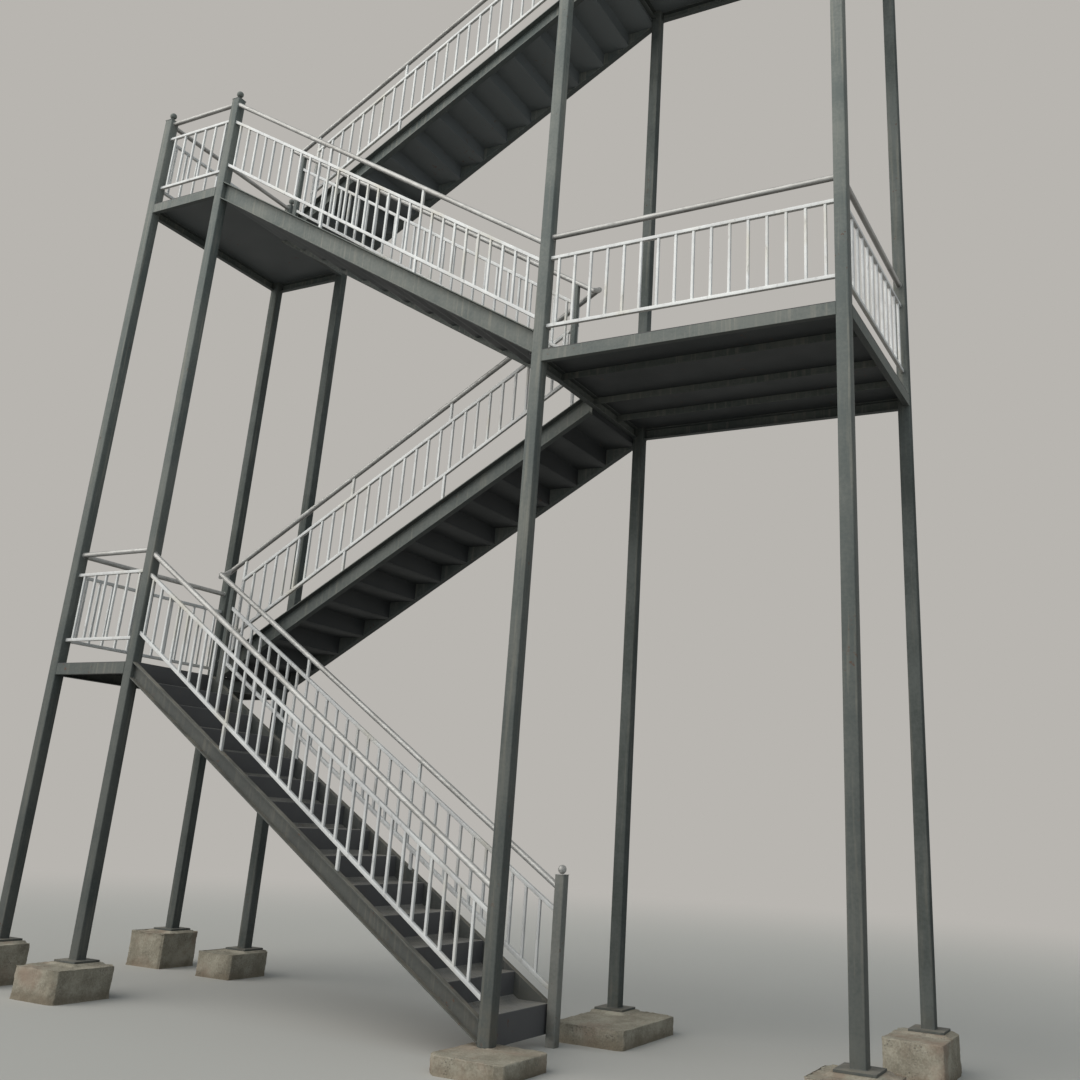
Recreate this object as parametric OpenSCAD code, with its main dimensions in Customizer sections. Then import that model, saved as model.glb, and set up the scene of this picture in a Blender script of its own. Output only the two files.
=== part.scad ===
// Fire escape stair: four steel flights that double back between two left landings
// and two right platforms, carried by eight square columns on concrete plinths.
// X runs along the wall, Y towards it and Z up. Sizes are in millimetres.

/* [Levels] */
// Rise of each flight, from the lowest up
flight_rise = [2633, 2440, 2500, 2390]; // [2380:1:2660]
// Height of the ground at the foot of the lowest flight
foot_ground = 97; // [92:1:120]
// Number of risers in a flight
riser_count = 14; // [14:1:14]

/* [Plan] */
// Width of a left landing over its columns
landing_w = 1107; // [1100:1:1400]
// Level distance between a left landing and a right platform
flight_run = 3953; // [3950:1:3990]
// Width of a right platform over its columns
platform_w = 2613; // [2000:1:3200]
// Depth of the stair over its columns
stair_depth = 2033; // [1990:1:2200]
// Going of a tread above the lowest flight, whose first riser stands at the end of the run
tread_going = 300; // [300:1:302]

/* [Columns and beams] */
// Side of a square column
column_side = 100; // [90:1:120]
// Wall thickness of the square tubes
tube_wall = 4; // [3:0.5:8]
// Depth of a platform's edge beam
beam_depth = 100; // [80:1:140]
// Width of an edge beam's flange
beam_flange = 50; // [40:1:60]
// Thickness of an edge beam's web and flanges
beam_wall = 6; // [5:0.5:9]
// Thickness of a deck plate
deck_t = 6; // [4:0.5:8]
// Depth of the joists under a right platform
joist_depth = 60; // [40:1:80]
// Distances of the joists from the front face
joist_rows = [500, 1100, 1560]; // [300:10:1800]

/* [Flights] */
// Plumb depth of the stringers of each flight
stringer_depth = [149, 200, 200, 200]; // [140:1:210]
// Plumb depth of the stringers beside the gap between the lanes
inner_stringer_depth = [200, 200, 227, 200]; // [190:1:235]
// Height of the stringers' top edges over the nosing line of each flight
stringer_over_nosing = [-2, 32, 42, 38]; // [-6:1:50]
// Width of the stringers' flanges on each flight
stringer_flange = [53, 65, 65, 65]; // [50:1:75]
// Thickness of a stringer's web
stringer_web = 8; // [6:0.5:10]
// Plumb thickness of a stringer's flange
stringer_flange_t = 11; // [8:0.5:13]
// Far edge of the front lane's inner stringers
front_lane_end = 1000; // [990:1:1010]
// Near edge of the back lane's inner stringers
back_lane_start = 1026; // [1015:1:1040]
// Thickness of a folded tread plate
tread_t = 5; // [3:0.5:6]
// Clear gap between a riser and the tread below it
riser_gap = 2; // [1:0.5:4]
// How far an inner stringer's foot stands on the deck
foot_reach = 40; // [30:1:60]

/* [Railings] */
// Diameter of the round handrail
handrail_d = 48; // [38:1:52]
// Height of a handrail's centre over a deck
handrail_h = 1046; // [1000:1:1080]
// Height of a platform panel's top bar
panel_top_h = 846; // [800:1:900]
// Height of a platform panel's bottom bar
panel_bottom_h = 222; // [150:1:260]
// Side of a panel's top and bottom bars
bar_side = 30; // [25:1:35]
// Side of a baluster
baluster_side = 22; // [18:1:25]
// Side of the short stubs that carry a sloping panel
stub_side = 26; // [22:1:30]
// Spacing of the balusters on each flight
flight_pitch = [130.5, 131.7, 134, 134.6]; // [110:0.1:150]
// Spacing of the balusters on a platform
platform_pitch = 149; // [110:1:160]
// Height of the front end of the handrail's turn over each of the lower three levels
turn_front_h = [991, 999, 1030]; // [970:1:1050]
// Height of the back end of the handrail's turn over each level
turn_back_h = [1060, 1050, 1046, 986]; // [970:1:1080]
// Height of an outer handrail over the top of its flight
outer_rail_top_h = [985, 1006]; // [950:1:1050]
// Height of an outer handrail over the level at the foot of its flight
outer_rail_foot_h = [1020, 1016]; // [980:1:1060]
// Height of the inner handrail over the ground at the newel post
inner_rail_foot_h = 1008; // [980:1:1040]
// Distance of the front lane's inner rails from the front face
inner_rail_y = 950; // [945:1:960]
// Side of the square posts at the ends of the inner rails
inner_post_side = 50; // [40:1:55]

/* [Posts and feet] */
// Height of the columns over the last deck that they carry
column_over_deck = 1090; // [1080:1:1150]
// Diameter of the ball on a column
ball_d = 72; // [60:1:85]
// Height of a ball's centre over the top of its column
ball_h = 77; // [65:1:90]
// Side of the newel post
newel_side = 80; // [70:1:90]
// Height of the newel post
newel_h = 1178; // [1150:1:1210]
// Side of a base plate
base_plate_side = 250; // [230:1:260]
// Thickness of a base plate
base_plate_t = 16; // [12:1:20]
// Depth to which the base plate beside the lowest step is cast in
plate_burial = 40; // [35:1:60]

/* [Hidden] */
$fn = 48;

steel_colour = "#4a4f50";
side_colour = "#414749";
deck_colour = "#3c3f40";
panel_colour = "#c9cbca";
pipe_colour = "#8d9190";
concrete_colour = "#8d857a";

// Faces of the columns along X
landing_x = [0, landing_w];
platform_x = [landing_w + flight_run, landing_w + flight_run + platform_w];
column_x = [0, landing_w - column_side, platform_x[0], platform_x[1] - column_side];
column_rows = [0, stair_depth - column_side];
left_x = landing_x[1];
right_x = platform_x[0];

// Heights of the decks
level_1 = foot_ground + flight_rise[0];
level_2 = level_1 + flight_rise[1];
level_3 = level_2 + flight_rise[2];
level_4 = level_3 + flight_rise[3];
flight_base = [foot_ground, level_1, level_2, level_3];
flight_top = [level_1, level_2, level_3, level_4];

// Plinths as [left, right, front, back, top, cut off each corner]
front_plinths = [
    [-200, 300, -300, 200, 335, 40],
    [830, 1390, -400, 200, 256, 55],
    [4930, 5530, -420, 200, 125, 70],
    [7373, 7873, -300, 200, 296, 40]
];
back_plinths = [
    [-200, 300, 1650, 2130, 324, 35],
    [790, 1270, 1598, 2130, 228, 45],
    [4960, 5600, 1140, 2130, 146, 60],
    [7373, 7826, 1500, 2130, 279, 35]
];
plinth_rows = [front_plinths, back_plinths];

// The middle of the box round the plinths is the origin of the part
origin_x = (front_plinths[0][0] + front_plinths[3][1]) / 2;
origin_y = (front_plinths[2][2] + back_plinths[0][3]) / 2;

// Centre planes of the sloping rails, the turns and the guard of the top platform
outer_rail_y = 32.5;
back_rail_y = back_lane_start + 32.5;
turn_left_x = left_x - 79;
turn_right_x = right_x + 5;
guard_x = right_x + 25;
guard_post_y = 1000;

// The newel post and the foot of the lowest riser
newel_x = right_x + 15;
newel_y = inner_rail_y - 4.5;
lowest_riser_foot = foot_ground - 17;

// A handrail's line as [x, z, x, z]
rail_1_outer = [left_x, level_1 + outer_rail_top_h[0], right_x, foot_ground + outer_rail_foot_h[0]];
rail_1_inner = [turn_left_x, level_1 + turn_front_h[0], right_x, foot_ground + inner_rail_foot_h];
rail_2 = [turn_left_x, level_1 + turn_back_h[0], turn_right_x, level_2 + turn_back_h[1]];
rail_3_outer = [left_x, level_3 + outer_rail_top_h[1], right_x, level_2 + outer_rail_foot_h[1]];
rail_3_inner = [turn_left_x, level_3 + turn_front_h[2], turn_right_x, level_2 + turn_front_h[1]];
rail_4 = [turn_left_x, level_3 + turn_back_h[2], guard_x, level_4 + turn_back_h[3]];

// Plumb drops from a handrail to its panel's bars, at the left and right ends of the run,
// as [top bar left, top bar right, bottom bar left, bottom bar right]
drops_1_outer = [192, 169, 728, 716];
drops_1_inner = [202, 170, 715, 715];
drops_2 = [212, 207, 752, 713];
drops_3_outer = [218, 176, 751, 705];
drops_3_inner = [175, 216, 714, 725];
drops_4 = [198, 153, 755, 706];

// Distances from the landing's edge: first baluster, stubs, ends of the back panels, posts
first_bar = [43.5, 242.3, 80, 266.8];
stub_places = [[1208, 2580], [1363, 2443], [1418, 2628], [1348, 2548]];
back_panel_ends = [[112, 3758], [206, 3766]];
inner_post_x = [left_x + 110, left_x + 3793];

// Height of a line given as [x, z, x, z], and a line below it
function line_z(line, x) = line[1] + (line[3] - line[1]) * (x - line[0]) / (line[2] - line[0]);
function lowered(line, left_drop, right_drop) =
    [left_x, line_z(line, left_x) - left_drop, right_x, line_z(line, right_x) - right_drop];

// Flights 0 and 2 rise to the left, flights 1 and 3 to the right
function uphill(flight) = flight % 2 == 0 ? -1 : 1;
function top_x(flight) = flight % 2 == 0 ? left_x : right_x;
function going(flight) = flight == 0 ? flight_run / (riser_count - 1) : tread_going;
function step_rise(flight) = flight_rise[flight] / riser_count;
function nosing_x(flight, step) = top_x(flight) - uphill(flight) * (riser_count - step) * going(flight);
function nosing_z(flight, step) = flight_base[flight] + step * step_rise(flight);
function pitch_z(flight, x) =
    flight_top[flight] + uphill(flight) * (x - top_x(flight)) * step_rise(flight) / going(flight);

// Top edge of a flight's stringers
function edge_z(flight, x) = pitch_z(flight, x) + stringer_over_nosing[flight];
function top_edge(flight) = [left_x, edge_z(flight, left_x), right_x, edge_z(flight, right_x)];

// Depths between the webs that hold the treads of a flight
function lane(flight) = flight % 2 == 0
    ? [stringer_flange[flight], front_lane_end - stringer_flange[flight]]
    : [back_lane_start + stringer_flange[flight], stair_depth - stringer_flange[flight]];

// Places of the balusters between two ends of a panel
function bar_places(flight, x_low, x_high) = [
    for (i = [-3 : 40])
        let (x = left_x + first_bar[flight] + i * flight_pitch[flight])
        if (x > x_low + bar_side && x < x_high - bar_side) x
];

// Underside of a base plate
function plate_z(index, row) =
    plinth_rows[row][index][4] - (index == 2 && row == 0 ? plate_burial : 0);

// A block between two corners
module block(low, high) {
    translate(low) cube(high - low);
}

// Extrudes an outline drawn in X and Z between two depths
module upright(y_low, y_high) {
    translate([0, y_high, 0]) rotate([90, 0, 0]) linear_extrude(y_high - y_low) children();
}

// A sloping band between two places along X, plumb at both ends
module band(x_low, z_low, x_high, z_high, depth) {
    polygon([[x_low, z_low], [x_high, z_high], [x_high, z_high - depth], [x_low, z_low - depth]]);
}

// A square tube that stands with its corner at a point
module square_tube(corner, side, height) {
    translate(corner) difference() {
        cube([side, side, height]);
        translate([tube_wall, tube_wall, -1])
            cube([side - 2 * tube_wall, side - 2 * tube_wall, height + 2]);
    }
}

// A channel beam along X between two depths, with its web at the front or the back
module channel_x(x_low, x_high, y_low, y_high, top, web_in_front) {
    web_y = web_in_front ? y_low : y_high - beam_wall;
    block([x_low, web_y, top - beam_depth], [x_high, web_y + beam_wall, top]);
    block([x_low, y_low, top - beam_wall], [x_high, y_high, top]);
    block([x_low, y_low, top - beam_depth], [x_high, y_high, top - beam_depth + beam_wall]);
}

// A channel beam along Y, with its web on the left or the right
module channel_y(y_low, y_high, x_low, x_high, top, web_on_left) {
    web_x = web_on_left ? x_low : x_high - beam_wall;
    block([web_x, y_low, top - beam_depth], [web_x + beam_wall, y_high, top]);
    block([x_low, y_low, top - beam_wall], [x_high, y_high, top]);
    block([x_low, y_low, top - beam_depth], [x_high, y_high, top - beam_depth + beam_wall]);
}

// The square tube of one column
module column(index, row, top) {
    foot = plate_z(index, row) + base_plate_t;
    color(steel_colour)
        square_tube([column_x[index], column_rows[row], foot], column_side, top - foot);
}

// A concrete plinth with its corners knocked off, cast round a buried plate and its column
module plinth(index, row) {
    difference() {
        plinth_block(index, row);
        if (plate_z(index, row) < plinth_rows[row][index][4]) {
            base_plate(index, row);
            translate([column_x[index], column_rows[row], plate_z(index, row)])
                cube([column_side, column_side, plate_burial + 1]);
        }
    }
}

module plinth_block(index, row) {
    shape = plinth_rows[row][index];
    cut = shape[5];
    linear_extrude(shape[4]) polygon([
        [shape[0] + cut, shape[2]], [shape[1] - cut, shape[2]],
        [shape[1], shape[2] + cut / 2], [shape[1], shape[3] - cut / 2],
        [shape[1] - cut, shape[3]], [shape[0] + cut, shape[3]],
        [shape[0], shape[3] - cut], [shape[0], shape[2] + cut]
    ]);
}

// The steel plate under one column
module base_plate(index, row) {
    overhang = (base_plate_side - column_side) / 2;
    translate([column_x[index] - overhang, column_rows[row] - overhang, plate_z(index, row)])
        cube([base_plate_side, base_plate_side, base_plate_t]);
}

// A thin cap plate with a ball on a short neck
module ball_cap(x, y, z, side, ball, rise) {
    cap_t = 4;
    translate([x - side / 2, y - side / 2, z]) cube([side, side, cap_t]);
    translate([x, y, z]) cylinder(h = rise, d = ball / 2);
    translate([x, y, z + rise]) sphere(d = ball);
}

// The edge beams of a platform, which run between its columns
module edge_beams(span, deck_top) {
    top = deck_top - deck_t;
    near = [span[0] + column_side, span[1] - column_side];
    far = [column_side, stair_depth - column_side];
    channel_x(near[0], near[1], 0, beam_flange, top, true);
    channel_x(near[0], near[1], stair_depth - beam_flange, stair_depth, top, false);
    channel_y(far[0], far[1], span[0], span[0] + beam_flange, top, true);
    channel_y(far[0], far[1], span[1] - beam_flange, span[1], top, false);
}

// The joists between the left and right edge beams of a platform
module joists(span, deck_top) {
    top = deck_top - deck_t;
    for (y = joist_rows)
        block([span[0] + beam_wall, y, top - joist_depth],
              [span[1] - beam_wall, y + beam_wall, top]);
}

module landing_frame(deck_top) {
    color(steel_colour) edge_beams(landing_x, deck_top);
}

module platform_frame(deck_top) {
    color(steel_colour) {
        edge_beams(platform_x, deck_top);
        joists(platform_x, deck_top);
    }
}

// A deck plate, notched round the four columns at its corners
module deck(span, deck_top) {
    color(deck_colour) difference() {
        block([span[0], 0, deck_top - deck_t], [span[1], stair_depth, deck_top]);
        for (x = [span[0], span[1] - column_side])
            for (y = column_rows)
                block([x, y, deck_top - deck_t - 1], [x + column_side, y + column_side, deck_top + 1]);
    }
}

// A stringer: a sloping channel of a plumb depth
module stringer(flight, x_low, x_high, y_low, web_in_front, depth) {
    y_high = y_low + stringer_flange[flight];
    web_y = web_in_front ? y_low : y_high - stringer_web;
    z_low = edge_z(flight, x_low);
    z_high = edge_z(flight, x_high);
    drop = depth - stringer_flange_t;
    color(side_colour) {
        upright(web_y, web_y + stringer_web) band(x_low, z_low, x_high, z_high, depth);
        upright(y_low, y_high) band(x_low, z_low, x_high, z_high, stringer_flange_t);
        upright(y_low, y_high)
            band(x_low, z_low - drop, x_high, z_high - drop, stringer_flange_t);
    }
}

// A pair of stringers whose inner one stands on the deck below
module front_stringers(flight, inner_end, outer_foot_z, inner_foot_z) {
    flange = stringer_flange[flight];
    inner_y = front_lane_end - flange;
    difference() {
        stringer(flight, left_x, right_x, 0, false, stringer_depth[flight]);
        block([left_x, -1, -1], [right_x + 1, flange + 1, outer_foot_z]);
    }
    difference() {
        stringer(flight, left_x, inner_end, inner_y, true, inner_stringer_depth[flight]);
        block([left_x, 0, -1], [inner_end + 1, front_lane_end + 1, inner_foot_z]);
    }
}

module back_stringers(flight) {
    inner_start = left_x - foot_reach;
    inner_depth = inner_stringer_depth[flight];
    wall_y = stair_depth - stringer_flange[flight];
    difference() {
        stringer(flight, inner_start, right_x, back_lane_start, false, inner_depth);
        block([inner_start - 1, 0, -1], [left_x + 2 * foot_reach, stair_depth, flight_base[flight]]);
    }
    stringer(flight, left_x, right_x, wall_y, true, stringer_depth[flight]);
}

// One folded step: the tread with its riser in front
module step_plate(flight, step, y_low, y_high) {
    drop = riser_gap - step_rise(flight);
    back = going(flight) + (step == riser_count - 1 ? 0 : tread_t);
    translate([nosing_x(flight, step), 0, nosing_z(flight, step)])
        mirror([uphill(flight) < 0 ? 1 : 0, 0, 0])
            upright(y_low, y_high) polygon([
                [0, 0], [back, 0], [back, -tread_t], [tread_t, -tread_t], [tread_t, drop], [0, drop]
            ]);
}

// The first step of a flight that starts on a deck, folded back to the deck's edge
module deck_step(flight, y_low, y_high, deck_edge) {
    base = flight_base[flight];
    start = nosing_x(flight, 1) + uphill(flight) * tread_t;
    step_plate(flight, 1, y_low, y_high);
    block([min(nosing_x(flight, 1), start), y_low, base - tread_t],
          [max(nosing_x(flight, 1), start), y_high, base + step_rise(flight) - tread_t]);
    block([min(start, deck_edge), y_low, base - tread_t], [max(start, deck_edge), y_high, base]);
}

// The plate that closes the last riser, against the edge beam
module top_riser(flight, y_low, y_high) {
    face = top_x(flight);
    block([min(face, face - uphill(flight) * tread_t), y_low,
           nosing_z(flight, riser_count - 1) + riser_gap],
          [max(face, face - uphill(flight) * tread_t), y_high, flight_top[flight]]);
}

// The lowest step, whose riser reaches down to the ground and stops on the plinth
module bottom_step(y_low, y_high) {
    top = nosing_z(0, 1);
    difference() {
        union() {
            block([nosing_x(0, 2) - tread_t, y_low, top - tread_t], [right_x, y_high, top]);
            block([right_x - tread_t, y_low, lowest_riser_foot], [right_x, y_high, top]);
        }
        plinth_block(2, 0);
    }
}

module flight_steps(flight) {
    y = lane(flight);
    color(deck_colour) {
        if (flight == 0)
            bottom_step(y[0], y[1]);
        else
            deck_step(flight, y[0], y[1], flight % 2 == 0 ? right_x : left_x);
        for (step = [2 : riser_count - 1])
            step_plate(flight, step, y[0], y[1]);
        top_riser(flight, y[0], y[1]);
    }
}

// A round pipe along a sloping line, longer than the line at both ends
module long_pipe(line, y) {
    spare = 60;
    run = line[2] - line[0];
    rise = line[3] - line[1];
    slope = atan2(rise, run);
    translate([line[0], y, line[1]]) rotate([0, 90 - slope, 0]) translate([0, 0, -spare])
        cylinder(h = norm([run, rise]) + 2 * spare, d = handrail_d);
}

// What a plan outline leaves of its children
module cut_in_plan(outline) {
    intersection() {
        children();
        linear_extrude(level_4 + 2 * handrail_h) polygon(outline);
    }
}

// Half of the square in plan that a mitre is cut across
mitre = 40;

// A sloping handrail with plumb or mitred ends, each given as [x, lean]
module sloping_pipe(line, y, low_end, high_end) {
    color(pipe_colour) cut_in_plan([
        [low_end[0] - low_end[1] * mitre, y - mitre], [high_end[0] - high_end[1] * mitre, y - mitre],
        [high_end[0] + high_end[1] * mitre, y + mitre], [low_end[0] + low_end[1] * mitre, y + mitre]
    ]) long_pipe(line, y);
}

// The pipe across a turn, mitred at both ends to the rails that it joins
module turn_pipe(x, z_front, z_back, opens) {
    run = back_rail_y - inner_rail_y;
    slope = atan2(z_back - z_front, run);
    color(pipe_colour) cut_in_plan([
        [x - opens * mitre, inner_rail_y - mitre], [x + opens * mitre, inner_rail_y + mitre],
        [x + opens * mitre, back_rail_y - mitre], [x - opens * mitre, back_rail_y + mitre]
    ]) translate([x, inner_rail_y, z_front]) rotate([slope - 90, 0, 0])
        translate([0, 0, -2 * mitre])
            cylinder(h = run / cos(slope) + 4 * mitre, d = handrail_d);
}

// An upright square bar between two lines
module upright_bar(low, high, x, y, side) {
    half = side / 2;
    upright(y - half, y + half) polygon([
        [x - half, line_z(low, x - half)], [x + half, line_z(low, x + half)],
        [x + half, line_z(high, x + half)], [x - half, line_z(high, x - half)]
    ]);
}

// A sloping panel of balusters under a handrail. Short stubs hold it to the rail above and
// the stringer below, and posts of the same section run right through at the given places.
module sloping_panel(flight, line, y, x_low, x_high, drops, posts) {
    depth = bar_side * 1.18;
    half_bar = bar_side / 2;
    half = baluster_side / 2;
    top_bar = lowered(line, drops[0], drops[1]);
    bottom_bar = lowered(line, drops[2], drops[3]);
    color(panel_colour) difference() {
        union() {
            for (bar = [top_bar, bottom_bar])
                upright(y - half_bar, y + half_bar)
                    band(x_low, line_z(bar, x_low) + depth / 2,
                         x_high, line_z(bar, x_high) + depth / 2, depth);
            for (x = bar_places(flight, x_low, x_high))
                block([x - half, y - half, line_z(bottom_bar, x)],
                      [x + half, y + half, line_z(top_bar, x)]);
            for (place = stub_places[flight]) {
                upright_bar(top_edge(flight), bottom_bar, left_x + place, y, stub_side);
                upright_bar(top_bar, line, left_x + place, y, stub_side);
            }
            for (x = posts)
                upright_bar(top_edge(flight), line, x, y, stub_side);
        }
        long_pipe(line, y);
    }
}

// The panel of a back flight, between a post at each end
module back_panel(flight, line, drops, ends) {
    posts = [left_x + ends[0], left_x + ends[1]];
    sloping_panel(flight, line, back_rail_y, posts[0] - stub_side / 2, posts[1] + stub_side / 2,
                  drops, posts);
}

// A square post on a stringer, under the handrail
module inner_post(flight, line, x, y) {
    seat = handrail_d / 2 - 2;
    difference() {
        upright_bar(top_edge(flight), lowered(line, seat, seat), x, y, inner_post_side);
        long_pipe(line, y);
    }
}

// A level panel of balusters along X, between two faces
module level_panel_x(x_low, x_high, y, deck_top) {
    half_bar = bar_side / 2;
    half = baluster_side / 2;
    gaps = round((x_high - x_low) / platform_pitch);
    pitch = (x_high - x_low) / gaps;
    for (z = [deck_top + panel_bottom_h, deck_top + panel_top_h])
        block([x_low, y - half_bar, z - half_bar], [x_high, y + half_bar, z + half_bar]);
    for (i = [1 : gaps])
        translate([x_low + (i - 0.5) * pitch - half, y - half, deck_top + panel_bottom_h])
            cube([baluster_side, baluster_side, panel_top_h - panel_bottom_h]);
}

// A level panel of balusters along Y, between two faces
module level_panel_y(x, y_low, y_high, deck_top) {
    half_bar = bar_side / 2;
    half = baluster_side / 2;
    gaps = round((y_high - y_low) / platform_pitch);
    pitch = (y_high - y_low) / gaps;
    for (z = [deck_top + panel_bottom_h, deck_top + panel_top_h])
        block([x - half_bar, y_low, z - half_bar], [x + half_bar, y_high, z + half_bar]);
    for (i = [1 : gaps])
        translate([x - half, y_low + (i - 0.5) * pitch - half, deck_top + panel_bottom_h])
            cube([baluster_side, baluster_side, panel_top_h - panel_bottom_h]);
}

// A level pipe along X or Y between two faces
module level_pipe_x(x_low, x_high, y, z) {
    translate([x_low, y, z]) rotate([0, 90, 0]) cylinder(h = x_high - x_low, d = handrail_d);
}

module level_pipe_y(x, y_low, y_high, z) {
    translate([x, y_low, z]) rotate([-90, 0, 0]) cylinder(h = y_high - y_low, d = handrail_d);
}

// Railings stand on the front and on the outer end of each platform
function end_rail_x(span) = span[0] == 0 ? column_side / 2 : span[1] - column_side / 2;

module platform_pipes(span, deck_top) {
    near = [span[0] + column_side, span[1] - column_side];
    far = [column_side, stair_depth - column_side];
    color(pipe_colour) {
        level_pipe_x(near[0], near[1], column_side / 2, deck_top + handrail_h);
        level_pipe_y(end_rail_x(span), far[0], far[1], deck_top + handrail_h);
    }
}

module platform_panels(span, deck_top) {
    near = [span[0] + column_side, span[1] - column_side];
    far = [column_side, stair_depth - column_side];
    color(panel_colour) {
        level_panel_x(near[0], near[1], column_side / 2, deck_top);
        level_panel_y(end_rail_x(span), far[0], far[1], deck_top);
    }
}

module front_column(index) {
    column(index, 0, (index < 2 ? level_3 : level_4) + column_over_deck);
}

module back_column(index) {
    column(index, 1, (index < 2 ? level_3 : level_4) + column_over_deck);
}

module plinths() {
    color(concrete_colour)
        for (row = [0, 1])
            for (index = [0 : 3])
                plinth(index, row);
}

module base_plates() {
    color(steel_colour)
        for (row = [0, 1])
            for (index = [0 : 3])
                base_plate(index, row);
}

module post_caps() {
    half = column_side / 2;
    color(steel_colour) {
        for (row = [0, 1])
            for (index = [0 : 3])
                ball_cap(column_x[index] + half, column_rows[row] + half,
                         (index < 2 ? level_3 : level_4) + column_over_deck,
                         column_side + 6, ball_d, ball_h);
        ball_cap(newel_x + newel_side / 2, newel_y, newel_h, newel_side + 4, ball_d - 6, ball_h / 2);
    }
}

module newel_post() {
    color(steel_colour)
        square_tube([newel_x, newel_y - newel_side / 2, 0], newel_side, newel_h);
}

module inner_posts() {
    color(steel_colour) {
        inner_post(0, rail_1_inner, inner_post_x[0], inner_rail_y);
        inner_post(2, rail_3_inner, inner_post_x[0], inner_rail_y);
        inner_post(2, rail_3_inner, inner_post_x[1], inner_rail_y);
        difference() {
            block([guard_x - inner_post_side / 2, guard_post_y - inner_post_side / 2, level_4],
                  [guard_x + inner_post_side / 2, guard_post_y + inner_post_side / 2,
                   level_4 + turn_back_h[3] - handrail_d / 2 + 2]);
            level_pipe_y(guard_x, column_side, back_rail_y, level_4 + turn_back_h[3]);
        }
    }
}

module flight_1_stringers() {
    front_stringers(0, newel_x, front_plinths[2][4], 0);
}

module flight_2_stringers() {
    back_stringers(1);
}

module flight_3_stringers() {
    front_stringers(2, right_x + foot_reach, 0, level_2);
}

module flight_4_stringers() {
    back_stringers(3);
}

module flight_1_handrails() {
    sloping_pipe(rail_1_outer, outer_rail_y, [left_x, 0], [right_x, 0]);
    sloping_pipe(rail_1_inner, inner_rail_y, [turn_left_x, 1], [newel_x, 0]);
    turn_pipe(turn_left_x, level_1 + turn_front_h[0], level_1 + turn_back_h[0], 1);
}

module flight_2_handrail() {
    sloping_pipe(rail_2, back_rail_y, [turn_left_x, -1], [turn_right_x, 1]);
}

module flight_3_handrails() {
    sloping_pipe(rail_3_outer, outer_rail_y, [left_x, 0], [right_x, 0]);
    sloping_pipe(rail_3_inner, inner_rail_y, [turn_left_x, 1], [turn_right_x, -1]);
    turn_pipe(turn_left_x, level_3 + turn_front_h[2], level_3 + turn_back_h[2], 1);
    turn_pipe(turn_right_x, level_2 + turn_front_h[1], level_2 + turn_back_h[1], -1);
}

module flight_4_handrail() {
    sloping_pipe(rail_4, back_rail_y, [turn_left_x, -1], [guard_x, 1]);
}

module flight_1_panels() {
    sloping_panel(0, rail_1_outer, outer_rail_y, left_x, right_x, drops_1_outer, []);
    sloping_panel(0, rail_1_inner, inner_rail_y, inner_post_x[0] + inner_post_side / 2, newel_x,
                  drops_1_inner, []);
}

module flight_2_panel() {
    back_panel(1, rail_2, drops_2, back_panel_ends[0]);
}

module flight_3_panels() {
    sloping_panel(2, rail_3_outer, outer_rail_y, left_x, right_x, drops_3_outer, []);
    sloping_panel(2, rail_3_inner, inner_rail_y, inner_post_x[0] + inner_post_side / 2,
                  inner_post_x[1] - inner_post_side / 2, drops_3_inner, []);
}

module flight_4_panel() {
    back_panel(3, rail_4, drops_4, back_panel_ends[1]);
}

// The guard across the open lane of the top platform
module top_guard_pipe() {
    color(pipe_colour) cut_in_plan([
        [guard_x - mitre, column_side], [guard_x + mitre, column_side],
        [guard_x + mitre, back_rail_y + mitre], [guard_x - mitre, back_rail_y - mitre]
    ]) level_pipe_y(guard_x, column_side, back_rail_y + mitre, level_4 + turn_back_h[3]);
}

module top_guard_panel() {
    color(panel_colour)
        level_panel_y(guard_x, column_side, guard_post_y - inner_post_side / 2, level_4);
}

// Moves the part so that its origin is under the middle of it
module placed() {
    translate([-origin_x, -origin_y, 0]) children();
}

placed() front_column(0);  // front_column_1
placed() front_column(1);  // front_column_2
placed() front_column(2);  // front_column_3
placed() front_column(3);  // front_column_4
placed() back_column(0);  // back_column_1
placed() back_column(1);  // back_column_2
placed() back_column(2);  // back_column_3
placed() back_column(3);  // back_column_4
placed() plinths();
placed() base_plates();
placed() post_caps();
placed() newel_post();
placed() inner_posts();
placed() landing_frame(level_1);  // low_landing_frame
placed() platform_frame(level_2);  // right_platform_frame
placed() landing_frame(level_3);  // upper_landing_frame
placed() platform_frame(level_4);  // top_platform_frame
placed() deck(landing_x, level_1);  // low_landing_deck
placed() deck(platform_x, level_2);  // right_platform_deck
placed() deck(landing_x, level_3);  // upper_landing_deck
placed() deck(platform_x, level_4);  // top_platform_deck
placed() flight_1_stringers();
placed() flight_2_stringers();
placed() flight_3_stringers();
placed() flight_4_stringers();
placed() flight_steps(0);  // flight_1_steps
placed() flight_steps(1);  // flight_2_steps
placed() flight_steps(2);  // flight_3_steps
placed() flight_steps(3);  // flight_4_steps
placed() flight_1_handrails();
placed() flight_2_handrail();
placed() flight_3_handrails();
placed() flight_4_handrail();
placed() flight_1_panels();
placed() flight_2_panel();
placed() flight_3_panels();
placed() flight_4_panel();
placed() platform_pipes(landing_x, level_1);  // low_landing_handrails
placed() platform_pipes(platform_x, level_2);  // right_platform_handrails
placed() platform_pipes(landing_x, level_3);  // upper_landing_handrails
placed() {  // top_platform_handrails
    platform_pipes(platform_x, level_4);
    top_guard_pipe();
}
placed() platform_panels(landing_x, level_1);  // low_landing_panels
placed() platform_panels(platform_x, level_2);  // right_platform_panels
placed() platform_panels(landing_x, level_3);  // upper_landing_panels
placed() {  // top_platform_panels
    platform_panels(platform_x, level_4);
    top_guard_panel();
}
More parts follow.
